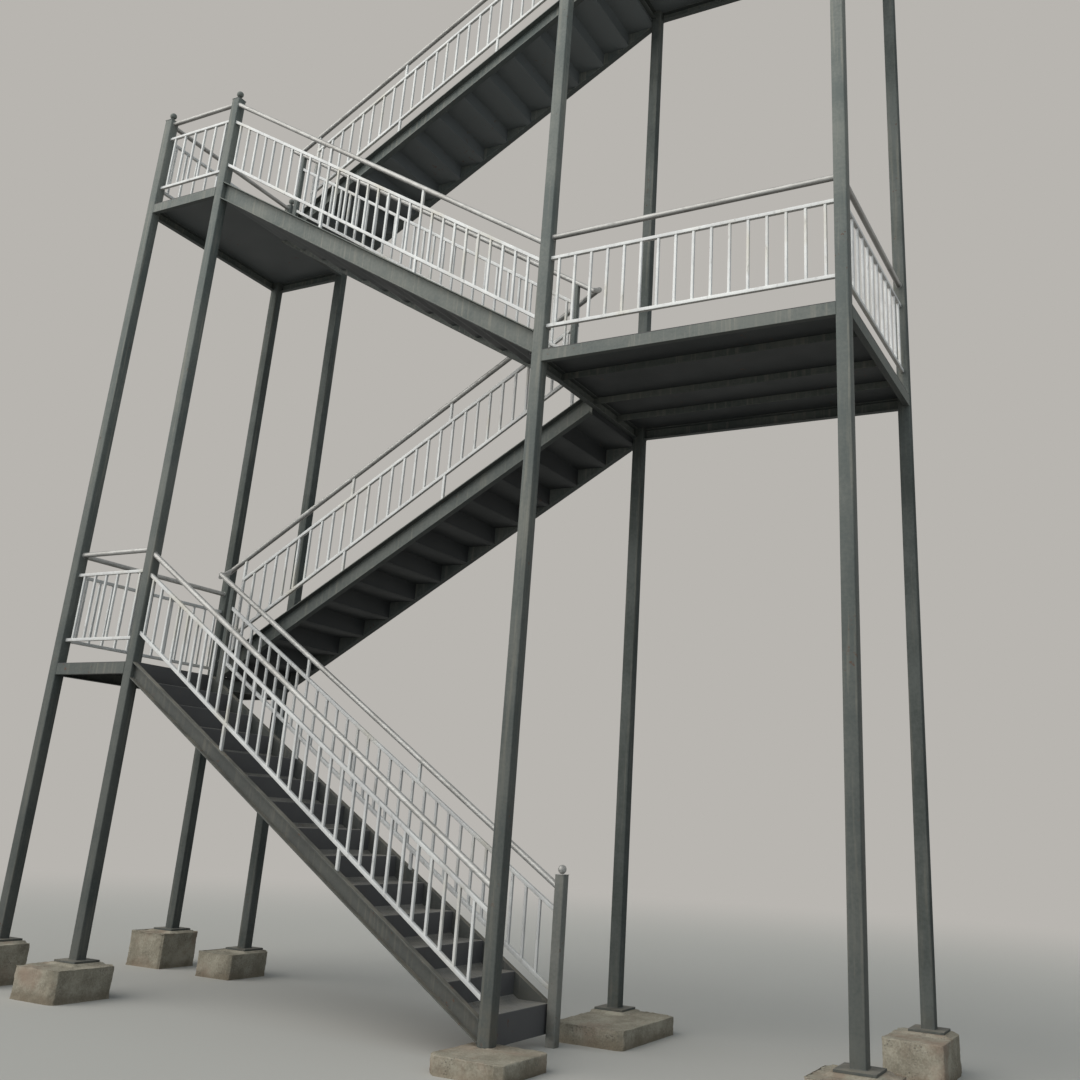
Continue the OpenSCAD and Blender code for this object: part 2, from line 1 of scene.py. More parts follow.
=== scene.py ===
"""Looks of a fire escape stair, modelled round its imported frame.

Lengths are in metres in the part's own frame: X runs along the stair, Y towards the back
row of columns and Z up. Places come from the frame's nodes, or from the driving sizes of
the stair that the classes below hold as fields.
"""

import logging
import math
from contextlib import contextmanager
from dataclasses import dataclass, field
from enum import Enum
from typing import Any, Callable, Iterator, Sequence, Union

import bmesh
import bpy
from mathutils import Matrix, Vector


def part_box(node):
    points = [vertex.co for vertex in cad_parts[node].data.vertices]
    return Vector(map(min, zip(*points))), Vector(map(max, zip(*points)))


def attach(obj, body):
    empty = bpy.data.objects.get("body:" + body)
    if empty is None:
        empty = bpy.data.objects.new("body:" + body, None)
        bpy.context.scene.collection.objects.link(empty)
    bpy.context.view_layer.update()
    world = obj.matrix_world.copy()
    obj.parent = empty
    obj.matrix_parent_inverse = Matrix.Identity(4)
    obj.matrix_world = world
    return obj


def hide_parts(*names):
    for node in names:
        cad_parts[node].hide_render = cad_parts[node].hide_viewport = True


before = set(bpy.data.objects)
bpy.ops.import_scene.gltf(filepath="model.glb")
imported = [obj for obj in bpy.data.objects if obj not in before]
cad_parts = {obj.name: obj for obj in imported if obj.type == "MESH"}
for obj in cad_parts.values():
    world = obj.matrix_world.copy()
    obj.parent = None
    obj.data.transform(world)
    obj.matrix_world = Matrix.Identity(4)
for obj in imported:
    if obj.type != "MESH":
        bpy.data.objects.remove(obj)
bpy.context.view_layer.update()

SLIVER = 0.0004
MERGE = SLIVER / 4
ALIGNED = 0.999
FLAT_ANGLE = math.radians(1)
SMOOTH_ANGLE = math.radians(35)
CORNER_ANGLE = math.radians(40)
CORNER_CUTS = 3
PIPE_SIDES = 40
FLIGHTS = 4
TOP_LEVEL = FLIGHTS - 1
FLOORS = ("low_landing", "right_platform", "upper_landing", "top_platform")
COLUMNS = [f"{row}_column_{number}" for row in ("front", "back") for number in range(1, 5)]

log = logging.getLogger("stair")
Pair = tuple[float, float]
Point = Sequence[float]
Colour = tuple[float, float, float, float]
Test = Callable[[Any], bool]
Piece = bpy.types.Object


class Slot(Enum):
    """The record's material slots."""

    STEEL = "steel"
    DECK = "deck"
    HANDRAIL = "handrail"
    PANEL = "panel"
    CONCRETE = "concrete"


class Part(Enum):
    """The kinds of mesh element that are picked in edit mode."""

    EDGE = "edges"
    FACE = "faces"


class Climb(Enum):
    """The way along X in which a flight rises."""

    LEFT = -1
    RIGHT = 1


def srgb(red: int, green: int, blue: int) -> Colour:
    """Turn a colour written in 0 to 255 into the linear colour that shaders take.

    Args:
        red: Red share.
        green: Green share.
        blue: Blue share.

    Returns:
        The linear colour with full alpha.
    """
    shares = [value / 255 for value in (red, green, blue)]
    linear = [s / 12.92 if s < 0.04045 else ((s + 0.055) / 1.055) ** 2.4 for s in shares]
    return (*linear, 1.0)


def along(axis: int) -> Test:
    """Make a test for edges that run along an axis.

    Args:
        axis: 0 for X, 1 for Y, 2 for Z.

    Returns:
        The test.
    """

    def test(edge: bmesh.types.BMEdge) -> bool:
        """Tell whether an edge runs along the axis."""
        way = edge.verts[1].co - edge.verts[0].co
        return abs(way[axis]) > ALIGNED * way.length

    return test


def on_plane(point: Point, normal: Point) -> Test:
    """Make a test for edges that lie in a plane.

    Args:
        point: A point of the plane.
        normal: The plane's unit normal.

    Returns:
        The test.
    """
    foot = Vector(point)
    way = Vector(normal)
    return lambda edge: all(abs((v.co - foot).dot(way)) < SLIVER for v in edge.verts)


class Bench:
    """The modelling operators, each kept to the pieces that it is given."""

    @staticmethod
    def take(*pieces: Piece) -> None:
        """Select these pieces alone and make the first one active.

        Args:
            *pieces: The pieces.
        """
        bpy.ops.object.select_all(action="DESELECT")
        for piece in pieces:
            piece.select_set(True)
        bpy.context.view_layer.objects.active = pieces[0]

    @staticmethod
    @contextmanager
    def editing(piece: Piece) -> Iterator[None]:
        """Open a piece in edit mode with nothing selected.

        Args:
            piece: The piece to open.

        Yields:
            Nothing; the piece stays open inside the with block.
        """
        Bench.take(piece)
        bpy.ops.object.mode_set(mode="EDIT")
        bpy.ops.mesh.select_all(action="DESELECT")
        yield
        bpy.ops.object.mode_set(mode="OBJECT")

    @staticmethod
    def pick(part: Part, test: Test) -> None:
        """Select the elements of the open piece that pass a test, and no others.

        Args:
            part: The kind of element.
            test: The test, on one element.
        """
        bpy.ops.mesh.select_mode(type=part.name)
        bpy.ops.mesh.select_all(action="DESELECT")
        data = bpy.context.edit_object.data
        mesh = bmesh.from_edit_mesh(data)
        mesh.normal_update()
        for item in getattr(mesh, part.value):
            if test(item):
                item.select_set(True)
        mesh.select_flush_mode()
        bmesh.update_edit_mesh(data)

    @staticmethod
    def draw_out(way: Point) -> None:
        """Extrude the selected edges of the open piece along a way."""
        bpy.ops.mesh.extrude_edges_move(TRANSFORM_OT_translate={"value": way})

    @staticmethod
    def settle(name: str) -> Piece:
        """Name the active piece and put its place into its mesh.

        Args:
            name: The piece's name.

        Returns:
            The piece, with its object at the origin.
        """
        piece = bpy.context.object
        piece.name = name
        piece.data.name = name
        bpy.ops.object.transform_apply(location=True, rotation=True, scale=True)
        return piece

    @staticmethod
    def block(name: str, low: Point, high: Point, axis: int = -1, corner: float = 0.0) -> Piece:
        """Make a block between two corners, with its edges along one axis rounded.

        Args:
            name: The piece's name.
            low: Lowest corner.
            high: Highest corner.
            axis: Axis of the rounded edges, or -1 for none.
            corner: Radius of the rounding.

        Returns:
            The block.
        """
        bpy.ops.object.select_all(action="DESELECT")
        middle = (Vector(low) + Vector(high)) / 2
        bpy.ops.mesh.primitive_cube_add(size=1, location=middle)
        bpy.context.object.scale = Vector(high) - Vector(low)
        piece = Bench.settle(name)
        if axis >= 0:
            with Bench.editing(piece):
                Bench.pick(Part.EDGE, along(axis))
                bpy.ops.mesh.bevel(offset=corner, segments=CORNER_CUTS, affect="EDGES")
        return piece

    @staticmethod
    def bar(name: str, start: Point, end: Point, side: float, corner: float) -> Piece:
        """Make a square bar that slopes along X.

        Args:
            name: The piece's name.
            start: Centre of one end.
            end: Centre of the other end.
            side: Side of the bar.
            corner: Radius of its long edges.

        Returns:
            The bar.
        """
        way = Vector(end) - Vector(start)
        half = Vector((way.length, side, side)) / 2
        piece = Bench.block(name, -half, half, 0, corner)
        piece.rotation_euler.y = -math.atan2(way.z, way.x)
        piece.location = (Vector(start) + Vector(end)) / 2
        Bench.take(piece)
        return Bench.settle(name)

    @staticmethod
    def pipe(name: str, start: Point, end: Point, radius: float) -> Piece:
        """Make a round pipe through two points, with its diameter to spare beyond each.

        Args:
            name: The piece's name.
            start: Centre of one end.
            end: Centre of the other end.
            radius: Radius of the pipe.

        Returns:
            The pipe, ready to be cut to length.
        """
        bpy.ops.object.select_all(action="DESELECT")
        way = Vector(end) - Vector(start)
        bpy.ops.mesh.primitive_cylinder_add(
            vertices=PIPE_SIDES,
            radius=radius,
            depth=way.length + 4 * radius,
            location=(Vector(start) + Vector(end)) / 2,
            rotation=way.to_track_quat("Z", "Y").to_euler(),
        )
        return Bench.settle(name)

    @staticmethod
    def cut(piece: Piece, point: Point, outward: Point) -> None:
        """Saw off what lies beyond a plane and close the cut.

        Args:
            piece: The piece to saw.
            point: A point of the plane.
            outward: Direction of the part that falls off.
        """
        with Bench.editing(piece):
            bpy.ops.mesh.select_all(action="SELECT")
            bpy.ops.mesh.bisect(
                plane_co=point,
                plane_no=Vector(outward).normalized(),
                use_fill=True,
                clear_outer=True,
            )

    @staticmethod
    def modify(piece: Piece, kind: str, **settings: Any) -> None:
        """Add a modifier to a piece and apply it.

        Args:
            piece: The piece.
            kind: The modifier's type.
            **settings: The modifier's own settings.
        """
        Bench.take(piece)
        modifier = piece.modifiers.new(kind.title(), kind)
        for key, value in settings.items():
            setattr(modifier, key, value)
        bpy.ops.object.modifier_apply(modifier=modifier.name)

    @staticmethod
    def thicken(piece: Piece, thickness: float) -> None:
        """Give a sheet its thickness, inwards from its outer face."""
        Bench.modify(piece, "SOLIDIFY", thickness=thickness, offset=-1, use_even_offset=True)

    @staticmethod
    def soften(piece: Piece, width: float) -> None:
        """Round the sharp edges of a piece a little."""
        Bench.modify(piece, "BEVEL", width=width, segments=2, limit_method="ANGLE")

    @staticmethod
    def row(piece: Piece, step: Point, count: int) -> None:
        """Repeat a piece along a step, as one mesh, to a count in all."""
        offset = {"use_relative_offset": False, "use_constant_offset": True}
        Bench.modify(piece, "ARRAY", count=count, constant_offset_displace=step, **offset)

    @staticmethod
    def twin(piece: Piece, name: str) -> Piece:
        """Copy a piece with a mesh of its own, merged and with its flat faces whole.

        Args:
            piece: The piece or CAD node to copy.
            name: The copy's name.

        Returns:
            The copy, which rides on nothing yet.
        """
        copy = bpy.data.objects.new(name, piece.data.copy())
        bpy.context.scene.collection.objects.link(copy)
        with Bench.editing(copy):
            bpy.ops.mesh.select_all(action="SELECT")
            bpy.ops.mesh.remove_doubles(threshold=MERGE)
            bpy.ops.mesh.dissolve_limited(angle_limit=FLAT_ANGLE)
        return copy

    @staticmethod
    def bead(piece: Piece, test: Test, radius: float) -> Piece:
        """Lay a weld bead along edges of a piece.

        Args:
            piece: The piece whose edges the bead follows.
            test: Tells the edges.
            radius: Radius of the bead.

        Returns:
            The bead.
        """
        seam = Bench.twin(piece, piece.name + "_seam")
        with Bench.editing(seam):
            Bench.pick(Part.EDGE, test)
            bpy.ops.mesh.select_all(action="INVERT")
            bpy.ops.mesh.delete(type="EDGE")
            bpy.ops.mesh.select_all(action="SELECT")
            bpy.ops.mesh.delete(type="ONLY_FACE")
        bpy.ops.object.convert(target="CURVE")
        curve = bpy.context.object
        curve.data.bevel_depth = radius
        curve.data.bevel_resolution = 1
        curve.data.use_fill_caps = True
        bpy.ops.object.convert(target="MESH")
        return bpy.context.object

    @staticmethod
    def join(name: str, pieces: Sequence[Piece]) -> Piece:
        """Join pieces into one and shade its round faces smooth.

        Args:
            name: Name of the whole.
            pieces: The pieces.

        Returns:
            The joined piece.
        """
        Bench.take(*pieces)
        if len(pieces) > 1:
            bpy.ops.object.join()
        whole = Bench.settle(name)
        bpy.ops.object.shade_smooth_by_angle(angle=SMOOTH_ANGLE)
        return whole


Feed = Union["Value", bpy.types.NodeSocket, float, Sequence[float]]


class Nodes:
    """A node tree and the one method that adds nodes to it."""

    def __init__(self, tree: bpy.types.NodeTree) -> None:
        """Hold the tree."""
        self.tree = tree

    def feed(self, socket: bpy.types.NodeSocket, value: Feed) -> None:
        """Link a socket, or set the value on it.

        Args:
            socket: The input.
            value: A link or a constant.
        """
        if isinstance(value, Value):
            value = value.socket
        if isinstance(value, bpy.types.NodeSocket):
            self.tree.links.new(value, socket)
        else:
            socket.default_value = value

    def node(
        self,
        kind: str,
        settings: dict[str, Any] | None = None,
        inputs: dict[str, Feed] | None = None,
    ) -> bpy.types.Node:
        """Add a node.

        Args:
            kind: The node's type.
            settings: Its own settings, which are set first.
            inputs: Values or links of its sockets, by the sockets' identifiers.

        Returns:
            The node.
        """
        made = self.tree.nodes.new(kind)
        for key, value in (settings or {}).items():
            setattr(made, key, value)
        sockets = {socket.identifier: socket for socket in made.inputs}
        for key, value in (inputs or {}).items():
            self.feed(sockets[key], value)
        return made

    def split(self, vector: bpy.types.NodeSocket) -> list["Value"]:
        """Take a vector apart into its three numbers."""
        made = self.node("ShaderNodeSeparateXYZ", inputs={"Vector": vector})
        return [Value(self, socket) for socket in made.outputs]

    def scaled(self, colour: Feed, factor: Feed) -> bpy.types.NodeSocket:
        """Multiply a colour by a number."""
        inputs = {"Vector": colour, "Scale": factor}
        return self.node("ShaderNodeVectorMath", {"operation": "SCALE"}, inputs).outputs["Vector"]

    def blend(self, factor: Feed, first: Feed, second: Feed) -> bpy.types.NodeSocket:
        """Mix two colours.

        Args:
            factor: Share of the second.
            first: Colour at 0.
            second: Colour at 1.

        Returns:
            The mixed colour.
        """
        inputs = {"Factor_Float": factor, "A_Color": first, "B_Color": second}
        made = self.node("ShaderNodeMix", {"data_type": "RGBA"}, inputs)
        return next(s for s in made.outputs if s.identifier == "Result_Color")

    def mixed(self, factor: Feed, first: Feed, second: Feed) -> bpy.types.NodeSocket:
        """Mix two shaders, with the factor as the second's share."""
        inputs = {"Fac": factor, "Shader": first, "Shader_001": second}
        return self.node("ShaderNodeMixShader", None, inputs).outputs[0]


@dataclass(frozen=True)
class Value:
    """A shader number, whose operators add Math nodes."""

    nodes: Nodes
    socket: bpy.types.NodeSocket

    def math(self, operation: str, first: Feed, second: Feed = 0.0) -> "Value":
        """Add a Math node.

        Args:
            operation: The node's operation.
            first: First number.
            second: Second number, where the operation takes one.

        Returns:
            The result.
        """
        inputs = {"Value": first, "Value_001": second}
        made = self.nodes.node("ShaderNodeMath", {"operation": operation}, inputs)
        return Value(self.nodes, made.outputs[0])

    def __add__(self, other: Feed) -> "Value":
        """Add."""
        return self.math("ADD", self, other)

    def __sub__(self, other: Feed) -> "Value":
        """Subtract."""
        return self.math("SUBTRACT", self, other)

    def __rsub__(self, other: Feed) -> "Value":
        """Subtract from a number."""
        return self.math("SUBTRACT", other, self)

    def __mul__(self, other: Feed) -> "Value":
        """Multiply."""
        return self.math("MULTIPLY", self, other)

    def __truediv__(self, other: Feed) -> "Value":
        """Divide."""
        return self.math("DIVIDE", self, other)

    __radd__ = __add__
    __rmul__ = __mul__

    def floor(self) -> "Value":
        """Round down."""
        return self.math("FLOOR", self)

    def fraction(self) -> "Value":
        """Keep what is over a whole number."""
        return self.math("FRACT", self)

    def between(self, low: float, high: float) -> "Value":
        """Rise smoothly from 0 at one value to 1 at another.

        Args:
            low: Where the result is 0.
            high: Where it is 1.

        Returns:
            The mask.
        """
        settings = {"interpolation_type": "SMOOTHSTEP"}
        inputs = {"Value": self, "From Min": low, "From Max": high}
        made = self.nodes.node("ShaderNodeMapRange", settings, inputs)
        return Value(self.nodes, made.outputs[0])


RUST = srgb(104, 62, 38)
DUST = srgb(150, 143, 130)
SOIL = srgb(112, 98, 80)
TONES = (0.35, 0.65)
FACING = (0.5, 0.9)
NOISE_ROUGHNESS = 0.6


@dataclass(frozen=True)
class Patches:
    """Noise cut to patches: waves in a metre, octaves, and where they start and are full."""

    scale: float
    detail: float
    start: float
    full: float
    stretch: Point = (1, 1, 1)


class Recipe(Nodes):
    """A material that reads the piece's own coordinates and normals."""

    def __init__(self, name: str, specular: float) -> None:
        """Start a material.

        Args:
            name: The material's name.
            specular: Specular level, the same all over.
        """
        self.material = bpy.data.materials.new(name)
        self.material.use_nodes = True
        super().__init__(self.material.node_tree)
        self.shader = self.tree.nodes["Principled BSDF"]
        self.shader.inputs["Specular IOR Level"].default_value = specular
        self.place = self.node("ShaderNodeTexCoord").outputs["Object"]
        self.x, self.y, self.z = self.split(self.place)
        normal = self.node("ShaderNodeNewGeometry").outputs["True Normal"]
        self.sideways, _, tilt = self.split(normal)
        self.upward = tilt.between(*FACING)
        # Faces turned down; the finishes darken these with painted shade.
        self.downward = (0 - tilt).between(*FACING)

    def noise(self, scale: float, detail: float = 4.0, stretch: Point = (1, 1, 1)) -> Value:
        """Make noise on the piece's coordinates.

        Args:
            scale: Waves in a metre.
            detail: Octaves.
            stretch: Factors on the coordinates.

        Returns:
            The noise, around 0.5.
        """
        where = self.node("ShaderNodeMapping", inputs={"Vector": self.place, "Scale": stretch})
        inputs = {
            "Vector": where.outputs[0],
            "Scale": scale,
            "Detail": detail,
            "Roughness": NOISE_ROUGHNESS,
        }
        return Value(self, self.node("ShaderNodeTexNoise", None, inputs).outputs[0])

    def mask(self, patches: Patches) -> Value:
        """Make a mask that is 1 in the patches and 0 between them."""
        noise = self.noise(patches.scale, patches.detail, patches.stretch)
        return noise.between(patches.start, patches.full)

    def bump(self, height: Value, distance: float) -> None:
        """Raise the surface.

        Args:
            height: Height from 0 to 1.
            distance: What 1 stands for, in metres.
        """
        inputs = {"Height": height, "Distance": distance, "Strength": 1.0}
        made = self.node("ShaderNodeBump", None, inputs)
        self.feed(self.shader.inputs["Normal"], made.outputs[0])

    def finish(self, colour: Feed, roughness: Feed, metal: float = 0.0) -> bpy.types.Material:
        """Set the surface and close the material.

        Args:
            colour: Base colour.
            roughness: Roughness.
            metal: Metallic share, the same all over.

        Returns:
            The material.
        """
        self.feed(self.shader.inputs["Base Color"], colour)
        self.feed(self.shader.inputs["Roughness"], roughness)
        self.shader.inputs["Metallic"].default_value = metal
        return self.material


@dataclass(frozen=True)
class GreyPaint:
    """Matt grey paint on rolled steel, with dust, rain streaks, specks of rust, painted shade on
    downward faces and painted light that grows with height.
    """

    name: str = "grey_paint"
    dark: Colour = srgb(74, 79, 77)
    light: Colour = srgb(94, 96, 92)
    shade_below: Colour = srgb(46, 49, 49)
    height_light: float = 1.3
    specular: float = 0.25
    rough: float = 0.48
    relief: float = 0.0006
    dust_share: float = 0.45
    streak_share: float = 0.22
    shade_below_share: float = 0.75
    rust_share: float = 0.7
    soil_share: float = 0.3
    soil_reach: Pair = (0.1, 0.55)
    height_light_reach: Pair = (0.0, 8.0)
    streaks: Patches = Patches(1, 5, 0.5, 0.72, (30, 30, 1.2))
    dusty: Patches = Patches(5, 5, 0.35, 0.7)
    splashes: Patches = Patches(9, 5, 0.35, 0.75)
    specks: Patches = Patches(24, 6, 0.62, 0.7)
    rusty: Patches = Patches(1.3, 3, 0.52, 0.64)

    def material(self) -> bpy.types.Material:
        """Mix the paint.

        Returns:
            The material.
        """
        recipe = Recipe(self.name, self.specular)
        mottle = recipe.noise(1.7, 5)
        fine = recipe.noise(42, 5)
        streak = recipe.mask(self.streaks)
        tone = (mottle * 0.7 + fine * 0.3).between(*TONES)
        colour = recipe.blend(tone, self.dark, self.light)
        colour = recipe.blend(streak * (1 - recipe.upward) * self.streak_share, colour, DUST)
        settled = recipe.upward * (0.4 + 0.9 * recipe.mask(self.dusty))
        colour = recipe.blend(settled * self.dust_share, colour, DUST)
        # Painted shade: downward faces are darkened towards the shade colour.
        colour = recipe.blend(recipe.downward * self.shade_below_share, colour, self.shade_below)
        # Painted light: the colour is made lighter with height.
        colour = recipe.scaled(colour, 1 + recipe.z.between(*self.height_light_reach) * self.height_light)
        splashed = (1 - recipe.z.between(*self.soil_reach)) * recipe.mask(self.splashes)
        colour = recipe.blend(splashed * self.soil_share, colour, SOIL)
        rust = recipe.mask(self.specks) * recipe.mask(self.rusty)
        colour = recipe.blend(rust * self.rust_share, colour, RUST)
        recipe.bump(fine * 0.6 + recipe.noise(220, 3) * 0.4 + rust * 0.6, self.relief)
        return recipe.finish(colour, self.rough + 0.3 * mottle + 0.12 * streak)


@dataclass(frozen=True)
class TreadPlate:
    """Chequered steel plate, walked bright on top, with painted shade below and on the risers'
    backs, painted lighter higher up.
    """

    name: str = "tread_plate"
    rises: float = -1.0
    dark: Colour = srgb(102, 102, 100)
    light: Colour = srgb(136, 134, 130)
    shade_below: Colour = srgb(48, 51, 52)
    shade_below_high: Colour = srgb(121, 126, 127)
    riser: Colour = srgb(85, 85, 87)
    worn: Colour = srgb(150, 149, 145)
    cell: float = 0.026
    long_fall: float = 1.7
    short_fall: float = 14.0
    flat_top: float = 0.8
    specular: float = 0.3
    rough: float = 0.42
    relief: float = 0.0015
    riser_share: float = 0.85
    worn_share: float = 0.35
    dust_share: float = 0.6
    shade_below_share: float = 0.9
    rust_share: float = 0.6
    shade_below_reach: Pair = (4.2, 10.5)
    dusty: Patches = Patches(7, 6, 0.4, 0.7)
    specks: Patches = Patches(20, 6, 0.6, 0.7)
    rusty: Patches = Patches(1.9, 3, 0.5, 0.64)

    def lentils(self, recipe: Recipe) -> Value:
        """Make the raised pattern, whose lentils lie crosswise in turn.

        Args:
            recipe: The material in work.

        Returns:
            The height from 0 to 1.
        """
        across = recipe.x / self.cell
        deep = recipe.y / self.cell
        turn = ((across.floor() + deep.floor()) * 0.5).fraction() * 2
        first = across.fraction() + deep.fraction() - 1
        second = across.fraction() - deep.fraction()
        long = turn * first + (1 - turn) * second
        short = turn * second + (1 - turn) * first
        height = 1 - long * long * self.long_fall - short * short * self.short_fall
        return height.between(0.0, self.flat_top)

    def material(self) -> bpy.types.Material:
        """Mix the plate's finish.

        Returns:
            The material.
        """
        recipe = Recipe(self.name, self.specular)
        pattern = self.lentils(recipe) * recipe.upward
        mottle = recipe.noise(2.6, 5)
        fine = recipe.noise(60, 4)
        colour = recipe.blend(mottle.between(*TONES), self.dark, self.light)
        colour = recipe.blend((1 - recipe.upward) * self.riser_share, colour, self.riser)
        colour = recipe.blend(pattern * self.worn_share, colour, self.worn)
        settled = recipe.upward * (0.15 + 0.6 * recipe.mask(self.dusty))
        colour = recipe.blend(settled * self.dust_share, colour, DUST)
        # Painted shade: undersides and the risers' backs are darkened, with painted light making
        # that shade lighter higher up.
        backs = (recipe.sideways * self.rises).between(*FACING)
        shade_below = recipe.blend(recipe.z.between(*self.shade_below_reach), self.shade_below, self.shade_below_high)
        colour = recipe.blend((recipe.downward + backs) * self.shade_below_share, colour, shade_below)
        rust = recipe.mask(self.specks) * recipe.mask(self.rusty)
        colour = recipe.blend(rust * self.rust_share, colour, RUST)
        recipe.bump(pattern * 0.75 + fine * 0.25, self.relief)
        return recipe.finish(colour, self.rough + 0.35 * mottle - 0.1 * pattern)


@dataclass(frozen=True)
class SilverPaint:
    """Silvery white paint on thin square tube, a little yellowed and grimy, with painted shade on
    downward faces and painted light that grows with height.
    """

    name: str = "silver_paint"
    dark: Colour = srgb(203, 203, 202)
    light: Colour = srgb(224, 224, 222)
    yellowed: Colour = srgb(196, 188, 170)
    grime_and_shade: Colour = srgb(128, 122, 114)
    specular: float = 0.5
    metal: float = 0.05
    rough: float = 0.34
    relief: float = 0.0003
    yellow_share: float = 0.55
    dirt_share: float = 0.3
    shade_below_share: float = 0.35
    rust_share: float = 0.6
    low_light: float = 0.95
    height_light: float = 0.3
    height_light_reach: Pair = (1.0, 6.0)
    yellowing: Patches = Patches(1.9, 3, 0.52, 0.72)
    dirty: Patches = Patches(30, 6, 0.55, 0.72, (1, 1, 0.35))
    specks: Patches = Patches(46, 5, 0.66, 0.72)
    rusty: Patches = Patches(2.3, 3, 0.5, 0.62)

    def material(self) -> bpy.types.Material:
        """Mix the paint.

        Returns:
            The material.
        """
        recipe = Recipe(self.name, self.specular)
        mottle = recipe.noise(3.1, 4)
        fine = recipe.noise(55, 5)
        colour = recipe.blend(mottle.between(*TONES), self.dark, self.light)
        aged = recipe.mask(self.yellowing) * self.yellow_share
        colour = recipe.blend(aged, colour, self.yellowed)
        dirt = recipe.mask(self.dirty)
        # Real dirt in patches, and painted shade on downward faces, both in the grime colour.
        soiled_and_shaded = dirt * self.dirt_share + recipe.downward * self.shade_below_share
        colour = recipe.blend(soiled_and_shaded, colour, self.grime_and_shade)
        # Painted light: the colour is dimmed a little overall and made lighter with height.
        height_lit = self.low_light + recipe.z.between(*self.height_light_reach) * self.height_light
        colour = recipe.scaled(colour, height_lit)
        rust = recipe.mask(self.specks) * recipe.mask(self.rusty)
        colour = recipe.blend(rust * self.rust_share, colour, RUST)
        recipe.bump(fine + rust * 0.5, self.relief)
        rough = self.rough + 0.25 * mottle + 0.15 * dirt
        return recipe.finish(colour, rough, self.metal)


@dataclass(frozen=True)
class SatinPipe:
    """Satin steel pipe, dulled by hands and weather, with painted shade on downward faces."""

    name: str = "satin_pipe"
    dark: Colour = srgb(170, 169, 166)
    light: Colour = srgb(204, 204, 202)
    stain: Colour = srgb(98, 91, 84)
    specular: float = 0.5
    metal: float = 0.4
    rough: float = 0.3
    relief: float = 0.0003
    stain_share: float = 0.15
    shade_below_share: float = 0.55
    rust_share: float = 0.5
    stained: Patches = Patches(12, 6, 0.54, 0.72)
    specks: Patches = Patches(33, 5, 0.64, 0.72)
    rusty: Patches = Patches(1.6, 3, 0.5, 0.64)

    def material(self) -> bpy.types.Material:
        """Mix the finish.

        Returns:
            The material.
        """
        recipe = Recipe(self.name, self.specular)
        mottle = recipe.noise(2.4, 5)
        drawn = recipe.noise(1, 4, (6, 90, 90))
        tone = (mottle * 0.6 + drawn * 0.4).between(0.38, 0.62)
        colour = recipe.blend(tone, self.dark, self.light)
        stain = recipe.mask(self.stained)
        # Real stains in patches, and painted shade on downward faces, both in the stain colour.
        stained = stain * self.stain_share + recipe.downward * self.shade_below_share
        colour = recipe.blend(stained, colour, self.stain)
        rust = recipe.mask(self.specks) * recipe.mask(self.rusty)
        colour = recipe.blend(rust * self.rust_share, colour, RUST)
        recipe.bump(drawn * 0.5 + recipe.noise(70, 4) * 0.5, self.relief)
        rough = self.rough + 0.25 * mottle + 0.2 * stain
        return recipe.finish(colour, rough, self.metal)


@dataclass(frozen=True)
class RoughConcrete:
    """Weathered concrete with mortar, grit and soil."""

    name: str = "rough_concrete"
    dark: Colour = srgb(138, 131, 116)
    light: Colour = srgb(176, 169, 153)
    brown: Colour = srgb(142, 117, 101)
    stone: Colour = srgb(120, 115, 107)
    specular: float = 0.15
    rough: float = 0.85
    relief: float = 0.006
    brown_share: float = 0.6
    stone_share: float = 0.7
    damp_share: float = 0.45
    pebbles: float = 55.0
    pebble_reach: Pair = (0.18, 0.42)
    bared: Patches = Patches(6, 4, 0.52, 0.62)
    browned: Patches = Patches(2.2, 5, 0.48, 0.7)
    damp_reach: Pair = (0.05, 0.13)

    def material(self) -> bpy.types.Material:
        """Mix the concrete.

        Returns:
            The material.
        """
        recipe = Recipe(self.name, self.specular)
        broad = recipe.noise(4.5, 6)
        grit = recipe.noise(70, 6)
        inputs = {"Vector": recipe.place, "Scale": self.pebbles}
        cells = recipe.node("ShaderNodeTexVoronoi", None, inputs)
        distance = Value(recipe, cells.outputs["Distance"])
        pebble = 1 - distance.between(*self.pebble_reach)
        shown = pebble * recipe.mask(self.bared)
        tone = (broad * 0.6 + grit * 0.4).between(0.36, 0.64)
        colour = recipe.blend(tone, self.dark, self.light)
        mortar = recipe.mask(self.browned) * self.brown_share
        colour = recipe.blend(mortar, colour, self.brown)
        colour = recipe.blend(shown * self.stone_share, colour, self.stone)
        damp = 1 - (recipe.z + broad * 0.08).between(*self.damp_reach)
        colour = recipe.blend(damp * self.damp_share, colour, SOIL)
        recipe.bump(grit * 0.5 + broad * 0.6 + shown * 0.4, self.relief)
        return recipe.finish(colour, self.rough)


class Finish(Enum):
    """The finishes of the stair, each mixed once."""

    STEEL = GreyPaint()
    # The back row's copy of the grey paint, with less painted light by height and a darker
    # painted shade below.
    BACK_STEEL = GreyPaint(
        "back_grey_paint",
        srgb(78, 82, 79),
        srgb(98, 101, 98),
        srgb(40, 42, 42),
        height_light=0.5,
        specular=0.05,
        rough=0.8,
    )
    # A slightly darker copy of the grey paint for the lowest flight's stringers: painted shade.
    LOW_STEEL = GreyPaint("low_grey_paint", srgb(74, 76, 74), srgb(90, 91, 87))
    POST_STEEL = GreyPaint("post_grey_paint", srgb(112, 114, 110), srgb(136, 136, 130))
    TREADS = TreadPlate()
    RIGHT_TREADS = TreadPlate("right_tread_plate", 1.0)
    PANELS = SilverPaint()
    RAILS = SatinPipe()
    CONCRETE = RoughConcrete()

    def material(self) -> bpy.types.Material:
        """Give the finish's material, which is mixed at the first call."""
        return bpy.data.materials.get(self.value.name) or self.value.material()


